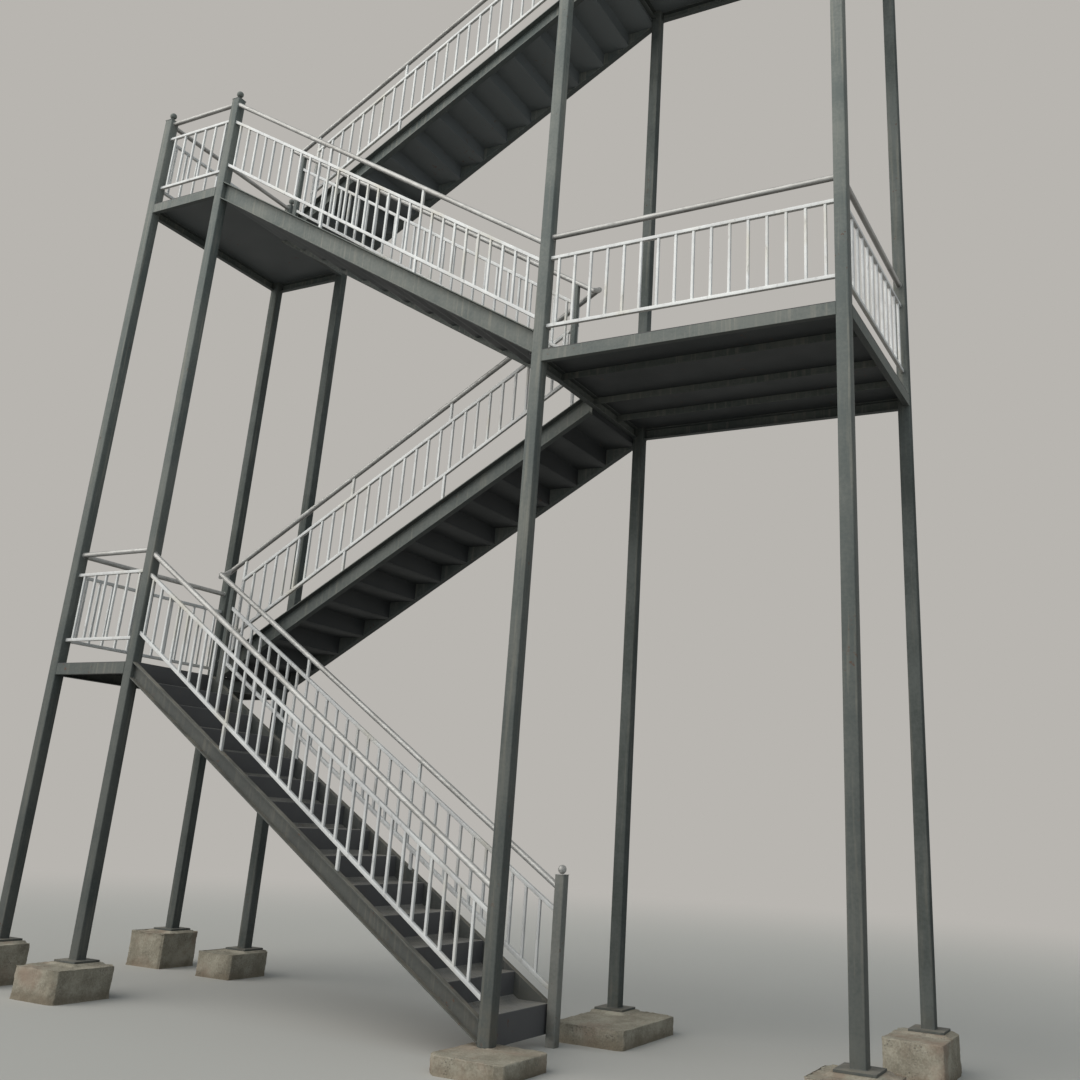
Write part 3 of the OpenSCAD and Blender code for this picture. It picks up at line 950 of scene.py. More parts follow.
def dress(piece: Piece, finish: Finish) -> None:
    """Give a piece its finish and no other."""
    piece.data.materials.clear()
    piece.data.materials.append(finish.material())


def hand_over(
    name: str, pieces: Sequence[Piece], slot: Slot, finish: Finish, *nodes: str
) -> None:
    """Join finished pieces, dress them and set them on the stair.

    Args:
        name: Name of the whole.
        pieces: The pieces, in place.
        slot: The record's slot that they belong to; not used.
        finish: Their finish.
        *nodes: CAD nodes that they stand for.
    """
    whole = Bench.join(name, pieces)
    dress(whole, finish)
    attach(whole, "root")
    if nodes:
        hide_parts(*nodes)
    log.info("%s: %d faces", name, len(whole.data.polygons))


def dress_node(name: str, finish: Finish, edge: float) -> None:
    """Give a CAD node its finish and soften its edges.

    Args:
        name: The node's name.
        finish: Its finish.
        edge: Width of its softened edges.
    """
    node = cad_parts[name]
    dress(node, finish)
    weld = node.modifiers.new("Merge", "WELD")
    weld.merge_threshold = MERGE
    soft = node.modifiers.new("Soft", "BEVEL")
    soft.width = edge
    soft.segments = 2
    soft.limit_method = "ANGLE"
    soft.angle_limit = CORNER_ANGLE
    log.info("%s: dressed", name)


@dataclass(frozen=True)
class Line:
    """A straight line in X and Z, as a handrail or a row of nosings follows."""

    x_start: float
    z_start: float
    x_end: float
    z_end: float

    @property
    def slope(self) -> float:
        """Rise over run."""
        return (self.z_end - self.z_start) / (self.x_end - self.x_start)

    def z(self, x: float) -> float:
        """Height at a place along X."""
        return self.z_start + (x - self.x_start) * self.slope

    def at(self, x: float, y: float, lift: float = 0.0) -> Vector:
        """Point of the line in a plane along the stair, lifted by a height."""
        return Vector((x, y, self.z(x) + lift))

    def lowered(self, run: Pair, drops: Sequence[float]) -> "Line":
        """Line that lies below this one by one drop at each of two places."""
        return Line(run[0], self.z(run[0]) - drops[0], run[1], self.z(run[1]) - drops[1])

    def upright(self, sign: int) -> Vector:
        """Unit normal in the plane of X and Z, upwards for 1 and downwards for -1."""
        return Vector((-self.slope, 0, 1)).normalized() * sign


@dataclass
class Plan:
    """Levels, faces and lanes of the stair, taken from the frame."""

    going: float = 0.300
    risers: int = 14
    foot_ground: float = 0.097
    flanges: tuple[float, ...] = (0.053, 0.065, 0.065, 0.065)
    over_nosing: tuple[float, ...] = (-0.002, 0.032, 0.042, 0.038)
    column_side: float = 0.100
    lane_gap: Pair = (1.000, 1.026)
    levels: list[float] = field(init=False)
    landing: Pair = field(init=False)
    platform: Pair = field(init=False)
    front: float = field(init=False)
    back: float = field(init=False)

    def __post_init__(self) -> None:
        """Read the decks."""
        boxes = [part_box(name + "_deck") for name in FLOORS]
        self.levels = [high.z for _, high in boxes]
        self.landing = (boxes[0][0].x, boxes[0][1].x)
        self.platform = (boxes[1][0].x, boxes[1][1].x)
        self.front = boxes[0][0].y
        self.back = boxes[0][1].y

    @property
    def left(self) -> float:
        """Inner edge of the landings."""
        return self.landing[1]

    @property
    def right(self) -> float:
        """Inner edge of the platforms."""
        return self.platform[0]

    @property
    def floors(self) -> list[tuple[str, int, Pair]]:
        """Name, number from below and faces along X of each landing and platform."""
        spans = (self.landing, self.platform)
        return [(name, level, spans[level % 2]) for level, name in enumerate(FLOORS)]

    def end_rail_x(self, span: Pair) -> float:
        """Centre plane of the railing at the outer end of a landing or platform."""
        half = self.column_side / 2
        return span[0] + half if span == self.landing else span[1] - half


@dataclass
class Flight:
    """One flight: its climb, its levels and its lane."""

    plan: Plan
    index: int

    @property
    def climb(self) -> Climb:
        """The way that it rises."""
        return Climb.LEFT if self.index % 2 == 0 else Climb.RIGHT

    @property
    def base(self) -> float:
        """Level at its foot."""
        return self.plan.levels[self.index - 1] if self.index else self.plan.foot_ground

    @property
    def top(self) -> float:
        """Level at its head."""
        return self.plan.levels[self.index]

    @property
    def rise(self) -> float:
        """Rise of one step."""
        return (self.top - self.base) / self.plan.risers

    @property
    def head(self) -> float:
        """Place of its top edge along X."""
        return self.plan.left if self.climb is Climb.LEFT else self.plan.right

    @property
    def going(self) -> float:
        """Going of its treads; the lowest flight's first riser stands at the end of the run."""
        if self.index:
            return self.plan.going
        return (self.plan.right - self.plan.left) / (self.plan.risers - 1)

    @property
    def nosings(self) -> Line:
        """The line through its nosings."""
        run = -self.climb.value * self.plan.risers * self.going
        return Line(self.head + run, self.base, self.head, self.top)

    @property
    def top_edge(self) -> Line:
        """Upper edge of its stringers."""
        line = self.nosings
        lift = self.plan.over_nosing[self.index]
        return Line(line.x_start, line.z_start + lift, line.x_end, line.z_end + lift)

    @property
    def lane(self) -> Pair:
        """Depths between the webs of its stringers."""
        near, far = self.plan.lane_gap
        flange = self.plan.flanges[self.index]
        if self.climb is Climb.LEFT:
            return (self.plan.front + flange, self.plan.front + near - flange)
        return (self.plan.front + far + flange, self.plan.back - flange)

    def nosing(self, step: int) -> Vector:
        """Front edge of a step, at no depth."""
        x = self.head - self.climb.value * (self.plan.risers - step) * self.going
        return Vector((x, 0, self.base + step * self.rise))


@dataclass
class Columns:
    """The eight square tubes, each with its weld on the base plate."""

    wall: float = 0.004
    corner: float = 0.009
    weld: float = 0.004

    def build(self) -> None:
        """Make every column."""
        for node in COLUMNS:
            low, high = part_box(node)
            name = node + "_tube"
            tube = self.tube(name, low, high)
            foot = Bench.bead(tube, on_plane(low, (0, 0, 1)), self.weld)
            Bench.modify(foot, "WELD", merge_threshold=SLIVER)
            finish = Finish.STEEL if node.startswith("front") else Finish.BACK_STEEL
            hand_over(name, [tube, foot], Slot.STEEL, finish, node)

    def tube(self, name: str, low: Vector, high: Vector) -> Piece:
        """Roll a square tube.

        Args:
            name: The piece's name.
            low: Lowest corner.
            high: Highest corner.

        Returns:
            The open tube.
        """
        piece = Bench.block(name, low, high, 2, self.corner)
        with Bench.editing(piece):
            Bench.pick(Part.FACE, lambda face: abs(face.normal.z) > ALIGNED)
            bpy.ops.mesh.delete(type="FACE")
        Bench.thicken(piece, self.wall)
        return piece


@dataclass
class PostCaps:
    """Cap plates with a turned ball on a neck.

    The neck starts at a depth under the ball's centre, as a share of its diameter, and goes
    down in steps, each with its share of the fall and its flare.
    """

    plate: float = 0.004
    overlap: float = 0.003
    edge: float = 0.001
    ball: float = 0.072
    rise: float = 0.077
    newel_ball: float = 0.066
    newel_rise: float = 0.0385
    sides: int = 28
    rings: int = 16
    neck_start: float = 0.44
    neck: tuple[Pair, ...] = ((0.2, 0.95), (0.45, 1.0), (0.15, 1.35), (0.2, 1.25))

    def build(self) -> None:
        """Make the caps of the columns and of the newel post."""
        caps = []
        for node in COLUMNS:
            caps += self.cap(*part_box(node), self.ball, self.rise)
        hand_over("ball_caps", caps, Slot.STEEL, Finish.STEEL, "post_caps")
        small = self.cap(*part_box("newel_post"), self.newel_ball, self.newel_rise)
        hand_over("newel_cap", small, Slot.STEEL, Finish.RAILS)

    def cap(self, low: Vector, high: Vector, ball: float, rise: float) -> list[Piece]:
        """Make one cap.

        Args:
            low: Lowest corner of the post.
            high: Highest corner of the post.
            ball: Diameter of the ball.
            rise: Height of the ball's centre over the post.

        Returns:
            The plate and the turned ball.
        """
        lap = Vector((self.overlap, self.overlap, 0))
        top = high.z
        plate_low = Vector((low.x, low.y, top)) - lap
        plate_high = Vector((high.x, high.y, top + self.plate)) + lap
        plate = Bench.block("cap_plate", plate_low, plate_high, 2, self.overlap)
        Bench.soften(plate, self.edge)
        middle = (low + high) / 2
        bpy.ops.object.select_all(action="DESELECT")
        bpy.ops.mesh.primitive_uv_sphere_add(
            segments=self.sides,
            ring_count=self.rings,
            radius=ball / 2,
            location=(middle.x, middle.y, top + rise),
        )
        turned = Bench.settle("turned_ball")
        bottom = top + rise - ball * self.neck_start
        fall = bottom - (top + self.plate)
        with Bench.editing(turned):
            Bench.pick(Part.FACE, lambda face: face.calc_center_median().z < bottom)
            bpy.ops.mesh.delete(type="FACE")
            Bench.pick(Part.EDGE, lambda edge: edge.is_boundary)
            for share, flare in self.neck:
                Bench.draw_out((0, 0, -fall * share))
                bpy.ops.transform.resize(
                    value=(flare, flare, 1), center_override=(middle.x, middle.y, top)
                )
            bpy.ops.mesh.edge_face_add()
        return [plate, turned]


@dataclass
class NewelPost:
    """The square post at the foot of the lowest flight."""

    columns: Columns

    def build(self) -> None:
        """Make the post."""
        tube = self.columns.tube("newel_post_tube", *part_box("newel_post"))
        hand_over("newel_post_tube", [tube], Slot.STEEL, Finish.POST_STEEL, "newel_post")


@dataclass
class Footings:
    """Rough plinths and the plates on them.

    The concrete is held still round each plate. It loosens over the onset beside the plate
    and from a ledge below it, and less near the ground, where it stays flat.
    """

    voxel: float = 0.014
    lumps: tuple[Pair, ...] = ((0.16, 0.020), (0.035, 0.010))
    octaves: int = 3
    plate_side: float = 0.250
    plate_edge: float = 0.002
    margin: float = 0.020
    onset: float = 0.030
    ledge: float = 0.050
    ground_share: float = 0.6
    ground_reach: float = 0.050
    cast_in: str = "front_column_3"
    cast_share: float = 0.7

    def build(self) -> None:
        """Make the plinths and dress the plates."""
        plinths = Bench.twin(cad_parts["plinths"], "rough_plinths")
        Bench.modify(plinths, "REMESH", mode="VOXEL", voxel_size=self.voxel)
        self.loosen(plinths)
        for size, depth in self.lumps:
            texture = bpy.data.textures.new(f"lumps_{size}", "CLOUDS")
            texture.noise_scale = size
            texture.noise_depth = self.octaves
            Bench.modify(
                plinths,
                "DISPLACE",
                texture=texture,
                texture_coords="LOCAL",
                mid_level=1.0,
                strength=depth,
                vertex_group="loose",
            )
        with Bench.editing(plinths):
            plinths.vertex_groups.active = plinths.vertex_groups["sole"]
            bpy.ops.object.vertex_group_select()
            bpy.ops.transform.resize(value=(1, 1, 0), center_override=(0, 0, 0))
        plinths.vertex_groups.clear()
        hand_over("rough_plinths", [plinths], Slot.CONCRETE, Finish.CONCRETE, "plinths")
        dress_node("base_plates", Finish.STEEL, self.plate_edge)

    def feet(self) -> list[tuple[float, float, float, float, float]]:
        """List what holds the concrete still.

        Returns:
            Centre along X and Y, height, reach and looseness at most, for each column.
        """
        feet = []
        for node in COLUMNS:
            low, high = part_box(node)
            reach, share = self.plate_side / 2 + self.margin, 1.0
            if node == self.cast_in:
                reach, share = (high.x - low.x) / 2, self.cast_share
            feet.append(((low.x + high.x) / 2, (low.y + high.y) / 2, low.z, reach, share))
        return feet

    def loosen(self, plinths: Piece) -> None:
        """Weigh how freely each point of the concrete may sink.

        Args:
            plinths: The remeshed plinths, which get the groups "loose" and "sole".
        """
        loose = plinths.vertex_groups.new(name="loose")
        sole = plinths.vertex_groups.new(name="sole")
        feet = self.feet()
        for vertex in plinths.data.vertices:
            place = vertex.co
            x, y, top, reach, share = min(
                feet, key=lambda foot: abs(foot[0] - place.x) + abs(foot[1] - place.y)
            )
            aside = max(abs(x - place.x), abs(y - place.y)) - reach
            below = max(0.0, top - place.z - self.ledge)
            free = min(share, max(0.0, aside / self.onset) + below / self.ledge)
            free *= min(1.0, self.ground_share + max(0.0, place.z) / self.ground_reach)
            loose.add([vertex.index], free, "REPLACE")
            if place.z < self.voxel / 3:
                sole.add([vertex.index], 1.0, "REPLACE")


@dataclass
class Framing:
    """Edge beams, joists, decks and stringers, which keep their CAD shapes."""

    plan: Plan
    edge: float = 0.0022
    deck_edge: float = 0.0015
    weld: float = 0.004

    def build(self) -> None:
        """Dress the nodes and weld them to the columns."""
        for place in FLOORS:
            dress_node(place + "_frame", Finish.STEEL, self.edge)
            dress_node(place + "_deck", Finish.TREADS, self.deck_edge)
        for number in range(1, FLIGHTS + 1):
            finish = Finish.LOW_STEEL if number == 1 else Finish.STEEL
            dress_node(f"flight_{number}_stringers", finish, self.edge)
        self.welds()

    def welds(self) -> None:
        """Lay the beads at the ends of the beams and stringers."""
        plan = self.plan
        side = plan.column_side
        seams = []
        for place, _, span in plan.floors:
            name = place + "_frame"
            seams += [(name, (x, 0, 0), (1, 0, 0)) for x in (span[0] + side, span[1] - side)]
            seams += [(name, (0, y, 0), (0, 1, 0)) for y in (plan.front + side, plan.back - side)]
        for number in range(1, FLIGHTS + 1):
            name = f"flight_{number}_stringers"
            seams += [(name, (x, 0, 0), (1, 0, 0)) for x in (plan.left, plan.right)]
        beads = [
            Bench.bead(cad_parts[name], on_plane(point, normal), self.weld)
            for name, point, normal in seams
        ]
        hand_over("frame_welds", beads, Slot.STEEL, Finish.STEEL)


@dataclass
class Steps:
    """The folded plates of one flight."""

    flight: Flight
    plate: float = 0.005
    bends: tuple[float, ...] = (0.030, 0.012, 0.026, 0.014)
    fold: float = 0.008
    fold_cuts: int = 4
    edge: float = 0.0012
    lowest_foot: float = 0.080
    plinth_back: float = 0.200
    plinth_top: float = 0.126

    @property
    def bend(self) -> float:
        """Height by which a tread's back edge is bent up to its riser, over the stringer."""
        return self.bends[self.flight.index]

    def build(self) -> None:
        """Make the steps of the flight."""
        flight = self.flight
        step = self.folded(flight.nosing(2), flight.rise - self.bend)
        way = (flight.climb.value * flight.going, 0, flight.rise)
        Bench.row(step, way, flight.plan.risers - 2)
        pieces = [step, self.closing_riser()]
        pieces += self.deck_step() if flight.index else [self.bottom_step()]
        name = f"flight_{flight.index + 1}"
        finish = Finish.TREADS if flight.climb is Climb.LEFT else Finish.RIGHT_TREADS
        hand_over(name + "_folded_steps", pieces, Slot.DECK, finish, name + "_steps")

    def folded(self, nosing: Vector, drop: float) -> Piece:
        """Fold one step from plate.

        Args:
            nosing: Its front edge.
            drop: Height of its riser.

        Returns:
            The step.
        """
        near, far = self.flight.lane
        way = self.flight.climb.value
        slope = self.flight.rise / self.flight.going
        depth = self.flight.going - self.bend / slope
        bent = self.flight.going + self.plate - depth
        bpy.ops.object.select_all(action="DESELECT")
        middle = (nosing.x + way * depth / 2, (near + far) / 2, nosing.z)
        bpy.ops.mesh.primitive_plane_add(size=1, location=middle)
        bpy.context.object.scale = (depth, far - near, 1)
        piece = Bench.settle("folded_step")
        front = on_plane((nosing.x, 0, 0), (1, 0, 0))
        with Bench.editing(piece):
            Bench.pick(Part.EDGE, front)
            Bench.draw_out((0, 0, -drop))
            top = on_plane((0, 0, nosing.z), (0, 0, 1))
            Bench.pick(Part.EDGE, lambda edge: front(edge) and top(edge))
            bpy.ops.mesh.bevel(offset=self.fold, segments=self.fold_cuts, affect="EDGES")
            Bench.pick(Part.EDGE, on_plane((nosing.x + way * depth, 0, 0), (1, 0, 0)))
            Bench.draw_out((way * bent, 0, bent * slope))
        Bench.thicken(piece, self.plate)
        return piece

    def sheet(self, low: Point, high: Point) -> Piece:
        """Cut a flat plate with softened edges.

        Args:
            low: One corner.
            high: The opposite corner.

        Returns:
            The plate.
        """
        lowest = [min(a, b) for a, b in zip(low, high)]
        highest = [max(a, b) for a, b in zip(low, high)]
        piece = Bench.block("plate", lowest, highest)
        Bench.soften(piece, self.edge)
        return piece

    def closing_riser(self) -> Piece:
        """Make the plate that closes the last riser.

        Returns:
            The plate.
        """
        flight = self.flight
        near, far = flight.lane
        back = flight.head - flight.climb.value * self.plate
        foot = flight.nosing(flight.plan.risers - 1).z + self.bend
        return self.sheet((back, near, foot), (flight.head, far, flight.top))

    def deck_step(self) -> list[Piece]:
        """Make the first step off a deck and the plate that meets the deck.

        Returns:
            The pieces.
        """
        flight = self.flight
        near, far = flight.lane
        nosing = flight.nosing(1)
        edge = flight.plan.right if flight.climb is Climb.LEFT else flight.plan.left
        step = self.folded(nosing, flight.rise)
        start = nosing.x + flight.climb.value * self.plate
        base = flight.base
        return [step, self.sheet((start, near, base - self.plate), (edge, far, base))]

    def bottom_step(self) -> Piece:
        """Make the lowest step, whose riser reaches to the ground and stops on the plinth.

        Returns:
            The step.
        """
        nosing = self.flight.nosing(1)
        near = self.flight.lane[0]
        far = self.flight.plan.front + self.plinth_back
        step = self.folded(nosing, nosing.z - self.lowest_foot)
        reach = Vector((4 * self.plate, 0, 0))
        low = Vector((nosing.x, near - self.plate, 0)) - reach
        high = Vector((nosing.x, far, self.plinth_top)) + reach
        notch = Bench.block("notch", low, high)
        Bench.modify(step, "BOOLEAN", operation="DIFFERENCE", object=notch)
        bpy.data.objects.remove(notch)
        return step


@dataclass
class Rails:
    """Driving heights and centre planes of the handrails."""

    plan: Plan
    radius: float = 0.024
    height: float = 1.046
    turn_front: tuple[float, ...] = (0.991, 0.999, 1.030)
    turn_back: tuple[float, ...] = (1.060, 1.050, 1.046, 0.986)
    outer_top: Pair = (0.985, 1.006)
    outer_foot: Pair = (1.020, 1.016)
    inner_foot: float = 1.008
    planes: tuple[float, float, float] = (0.0325, 0.950, 1.0585)
    left_turn: float = 0.079
    right_turn: float = 0.005
    guard: float = 0.025

    @property
    def outer_y(self) -> float:
        """Centre plane of the outer rails."""
        return self.plan.front + self.planes[0]

    @property
    def inner_y(self) -> float:
        """Centre plane of the front lane's inner rails."""
        return self.plan.front + self.planes[1]

    @property
    def back_y(self) -> float:
        """Centre plane of the back lane's rails."""
        return self.plan.front + self.planes[2]

    @property
    def turn_left(self) -> float:
        """Centre of the turns over the landings."""
        return self.plan.left - self.left_turn

    @property
    def turn_right(self) -> float:
        """Centre of the turn over the right platform."""
        return self.plan.right + self.right_turn

    @property
    def guard_x(self) -> float:
        """Centre plane of the guard on the top platform."""
        return self.plan.right + self.guard

    def front_z(self, level: int) -> float:
        """Height of the front end of the turn over a level."""
        return self.plan.levels[level] + self.turn_front[level]

    def back_z(self, level: int) -> float:
        """Height of the back end of the turn over a level."""
        return self.plan.levels[level] + self.turn_back[level]

    def outer(self, level: int) -> Line:
        """Draw the outer handrail of a flight that climbs left.

        Args:
            level: The level that the flight climbs to.

        Returns:
            The centre line.
        """
        which = level // 2
        base = self.plan.levels[level - 1] if level else self.plan.foot_ground
        top = self.plan.levels[level] + self.outer_top[which]
        return Line(self.plan.left, top, self.plan.right, base + self.outer_foot[which])

    def inner(self, level: int) -> Line:
        """Draw the handrail beside the gap between the lanes.

        Args:
            level: The level that its flight climbs to.

        Returns:
            The centre line.
        """
        if level == 0:
            foot = self.plan.foot_ground + self.inner_foot
            return Line(self.turn_left, self.front_z(0), self.plan.right, foot)
        if level == 2:
            return Line(self.turn_left, self.front_z(2), self.turn_right, self.front_z(1))
        right = self.turn_right if level == 1 else self.guard_x
        return Line(self.turn_left, self.back_z(level - 1), right, self.back_z(level))


@dataclass
class Handrails:
    """Round pipes along the flights, the turns, the landings and the platforms."""

    rails: Rails
    weld: float = 0.003

    def build(self) -> None:
        """Make the pipes that stand for each CAD node."""
        rails = self.rails
        for level in range(FLIGHTS):
            name = f"flight_{level + 1}_handrail"
            line = rails.inner(level)
            if level % 2 == 0:
                name += "s"
                outer = rails.outer(level)
                pieces = self.sloping(outer, rails.outer_y, (outer.x_start, 0), (outer.x_end, 0))
                left = (rails.turn_left, 1)
                right = (rails.turn_right, -1) if level else (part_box("newel_post")[0].x, 0)
                pieces += self.sloping(line, rails.inner_y, left, right)
                pieces += self.turn(rails.turn_left, level, 1)
                if level:
                    pieces += self.turn(rails.turn_right, level - 1, -1)
            else:
                pieces = self.sloping(line, rails.back_y, (line.x_start, -1), (line.x_end, 1))
            hand_over(name + "_pipes", pieces, Slot.HANDRAIL, Finish.RAILS, name)
        for place, level, span in rails.plan.floors:
            self.level_rails(place, level, span)

    def trimmed(self, start: Point, end: Point, before: Point, after: Point) -> list[Piece]:
        """Make a pipe between two points, saw its ends and weld round them.

        Args:
            start: Centre of one end.
            end: Centre of the other end.
            before: Outward direction of the saw cut at the start.
            after: The same at the end.

        Returns:
            The pipe and its beads.
        """
        pipe = Bench.pipe("pipe", start, end, self.rails.radius)
        cuts = ((start, Vector(before)), (end, Vector(after)))
        for point, outward in cuts:
            Bench.cut(pipe, point, outward)
        seams = [on_plane(point, outward.normalized()) for point, outward in cuts]
        return [pipe, *(Bench.bead(pipe, seam, self.weld) for seam in seams)]

    def sloping(self, line: Line, y: float, left: Pair, right: Pair) -> list[Piece]:
        """Make a sloping pipe, plumb or mitred at its ends.

        Args:
            line: Its centre line.
            y: Its centre plane.
            left: Place of its left end and the lean of the mitre there.
            right: The same of its right end.

        Returns:
            The pipe and its beads.
        """
        start = line.at(left[0], y)
        end = line.at(right[0], y)
        return self.trimmed(start, end, (-1, left[1], 0), (1, -right[1], 0))

    def turn(self, x: float, level: int, opens: int) -> list[Piece]:
        """Make the pipe across a turn.

        Args:
            x: Its centre plane.
            level: The level that it lies over.
            opens: 1 where the flights lie to its right, else -1.

        Returns:
            The pipe and its beads.
        """
        near = (x, self.rails.inner_y, self.rails.front_z(level))
        far = (x, self.rails.back_y, self.rails.back_z(level))
        return self.trimmed(near, far, (opens, -1, 0), (opens, 1, 0))

    def level_rails(self, place: str, level: int, span: Pair) -> None:
        """Make the rails on a landing or platform.

        Args:
            place: Start of its CAD nodes' names.
            level: Its number from below.
            span: Its faces along X.
        """
        plan = self.rails.plan
        side = plan.column_side
        z = plan.levels[level] + self.rails.height
        y = plan.front + side / 2
        x = plan.end_rail_x(span)
        front, back = plan.front + side, plan.back - side
        ends = ((span[0] + side, y, z), (span[1] - side, y, z))
        pieces = self.trimmed(*ends, (-1, 0, 0), (1, 0, 0))
        pieces += self.trimmed((x, front, z), (x, back, z), (0, -1, 0), (0, 1, 0))
        if level == TOP_LEVEL:
            x, z = self.rails.guard_x, self.rails.back_z(level)
            ends = ((x, front, z), (x, self.rails.back_y, z))
            pieces += self.trimmed(*ends, (0, -1, 0), (-1, 1, 0))
        node = place + "_handrails"
        hand_over(node + "_pipes", pieces, Slot.HANDRAIL, Finish.RAILS, node)


@dataclass(frozen=True)
class Rhythm:
    """Where the uprights of one flight's panels stand, from the landing's edge."""

    first: float
    pitch: float
    stubs: Pair
    posts: tuple[float, ...] = ()


@dataclass
class Panels:
    """Square bars and balusters under the handrails."""

    rails: Rails
    bar: float = 0.030
    baluster: float = 0.022
    stub: float = 0.026
    corner: float = 0.0035
    level_pitch: float = 0.149
    top_height: float = 0.846
    bottom_height: float = 0.222
    rhythms: tuple[Rhythm, ...] = (
        Rhythm(0.0435, 0.1305, (1.208, 2.580)),
        Rhythm(0.2423, 0.1317, (1.363, 2.443), (0.112, 3.758)),
        Rhythm(0.0800, 0.1340, (1.418, 2.628)),
        Rhythm(0.2668, 0.1346, (1.348, 2.548), (0.206, 3.766)),
    )
    outer_drops: tuple[tuple[float, ...], ...] = (
        (0.192, 0.169, 0.728, 0.716),
        (0.218, 0.176, 0.751, 0.705),
    )
    inner_drops: tuple[tuple[float, ...], ...] = (
        (0.202, 0.170, 0.715, 0.715),
        (0.212, 0.207, 0.752, 0.713),
        (0.175, 0.216, 0.714, 0.725),
        (0.198, 0.153, 0.755, 0.706),
    )

    def build(self) -> None:
        """Make the panels that stand for each CAD node."""
        rails = self.rails
        plan = rails.plan
        left_end, right_end = InnerPosts(rails).faces()
        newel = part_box("newel_post")[0].x
        for level in range(FLIGHTS):
            flight = Flight(plan, level)
            name = f"flight_{level + 1}_panel"
            line = rails.inner(level)
            drops = self.inner_drops[level]
            if level % 2 == 0:
                name += "s"
                run = (plan.left, plan.right)
                outer = self.outer_drops[level // 2]
                pieces = self.sloping(flight, rails.outer(level), rails.outer_y, run, outer)
                span = (left_end, right_end if level else newel)
                pieces += self.sloping(flight, line, rails.inner_y, span, drops)
            else:
                first, last = self.rhythms[level].posts
                span = (plan.left + first - self.stub / 2, plan.left + last + self.stub / 2)
                pieces = self.sloping(flight, line, rails.back_y, span, drops)
            hand_over(name + "_bars", pieces, Slot.PANEL, Finish.PANELS, name)
        for place, level, span in plan.floors:
            self.level_panels(place, level, span)

    def upright(self, x: float, y: float, low: float, high: float, side: float) -> Piece:
        """Make an upright bar with rounded edges.

        Args:
            x: Centre along X.
            y: Centre along Y.
            low: Height of its foot.
            high: Height of its top.
            side: Its side.

        Returns:
            The bar.
        """
        half = side / 2
        foot = (x - half, y - half, low)
        return Bench.block("baluster", foot, (x + half, y + half, high), 2, self.corner)

    def sloping(
        self, flight: Flight, line: Line, y: float, span: Pair, drops: Sequence[float]
    ) -> list[Piece]:
        """Make a panel along a flight.

        Args:
            flight: The flight.
            line: Centre line of the handrail over it.
            y: Its centre plane.
            span: Its ends along X.
            drops: Drops of its top and bottom bars, each at the left and the right of the run.

        Returns:
            The bars.
        """
        left = flight.plan.left
        rhythm = self.rhythms[flight.index]
        pieces = []
        run = (left, flight.plan.right)
        top_bar = line.lowered(run, drops[:2])
        bottom_bar = line.lowered(run, drops[2:])
        for centre in (top_bar, bottom_bar):
            start = centre.at(span[0] - self.bar, y)
            end = centre.at(span[1] + self.bar, y)
            bar = Bench.bar("bar", start, end, self.bar, self.corner)
            Bench.cut(bar, (span[0], y, 0), (-1, 0, 0))
            Bench.cut(bar, (span[1], y, 0), (1, 0, 0))
            pieces.append(bar)
        for x in self.places(rhythm, left, span):
            pieces.append(self.upright(x, y, bottom_bar.z(x), top_bar.z(x), self.baluster))
        for place in rhythm.stubs:
            x = left + place
            pieces.append(self.footed(flight.top_edge, x, y, bottom_bar.z(x)))
            pieces.append(self.upright(x, y, top_bar.z(x), line.z(x), self.stub))
        for place in rhythm.posts:
            x = left + place
            pieces.append(self.footed(flight.top_edge, x, y, line.z(x)))
        return pieces

    def places(self, rhythm: Rhythm, left: float, span: Pair) -> list[float]:
        """List where balusters stand in a panel.

        Args:
            rhythm: The flight's rhythm.
            left: Edge of the landing, from which it counts.
            span: Ends of the panel.

        Returns:
            The places along X, clear of the ends.
        """
        start = left + rhythm.first
        first, last = (math.floor((end - start) / rhythm.pitch) for end in span)
        every = [start + number * rhythm.pitch for number in range(first, last + 1)]
        return [x for x in every if span[0] + self.bar < x < span[1] - self.bar]

    def footed(self, edge: Line, x: float, y: float, top: float) -> Piece:
        """Make a stub or post whose foot is cut to the stringer below it.

        Args:
            edge: Top edge of the stringer.
            x: Centre along X.
            y: Centre along Y.
            top: Height of its top.

        Returns:
            The bar.
        """
        foot = edge.at(x, y)
        piece = self.upright(x, y, foot.z - self.stub, top, self.stub)
        Bench.cut(piece, foot, edge.upright(-1))
        return piece

    def level_panels(self, place: str, level: int, span: Pair) -> None:
        """Make the panels of a landing or platform.

        Args:
            place: Start of its CAD nodes' names.
            level: Its number from below.
            span: Its faces along X.
        """
        plan = self.rails.plan
        side = plan.column_side
        deck = plan.levels[level]
        y = plan.front + side / 2
        x = plan.end_rail_x(span)
        depth = (plan.front + side, plan.back - side)
        pieces = self.level_panel(0, (span[0] + side, span[1] - side), y, deck)
        pieces += self.level_panel(1, depth, x, deck)
        if level == TOP_LEVEL:
            far = InnerPosts(self.rails).guard_face()
            pieces += self.level_panel(1, (plan.front + side, far), self.rails.guard_x, deck)
        node = place + "_panels"
        hand_over(node + "_bars", pieces, Slot.PANEL, Finish.PANELS, node)

    def level_panel(self, axis: int, span: Pair, aside: float, deck: float) -> list[Piece]:
        """Make a level panel along X or Y.

        Args:
            axis: 0 for X, 1 for Y.
            span: Its ends along that axis.
            aside: Its centre on the other axis.
            deck: Level of the deck.

        Returns:
            The bars.
        """
        half = self.bar / 2

        def corner(place: float, off: float, z: float) -> tuple[float, float, float]:
            """Put a place along the panel and one beside it in order."""
            return (place, aside + off, z) if axis == 0 else (aside + off, place, z)

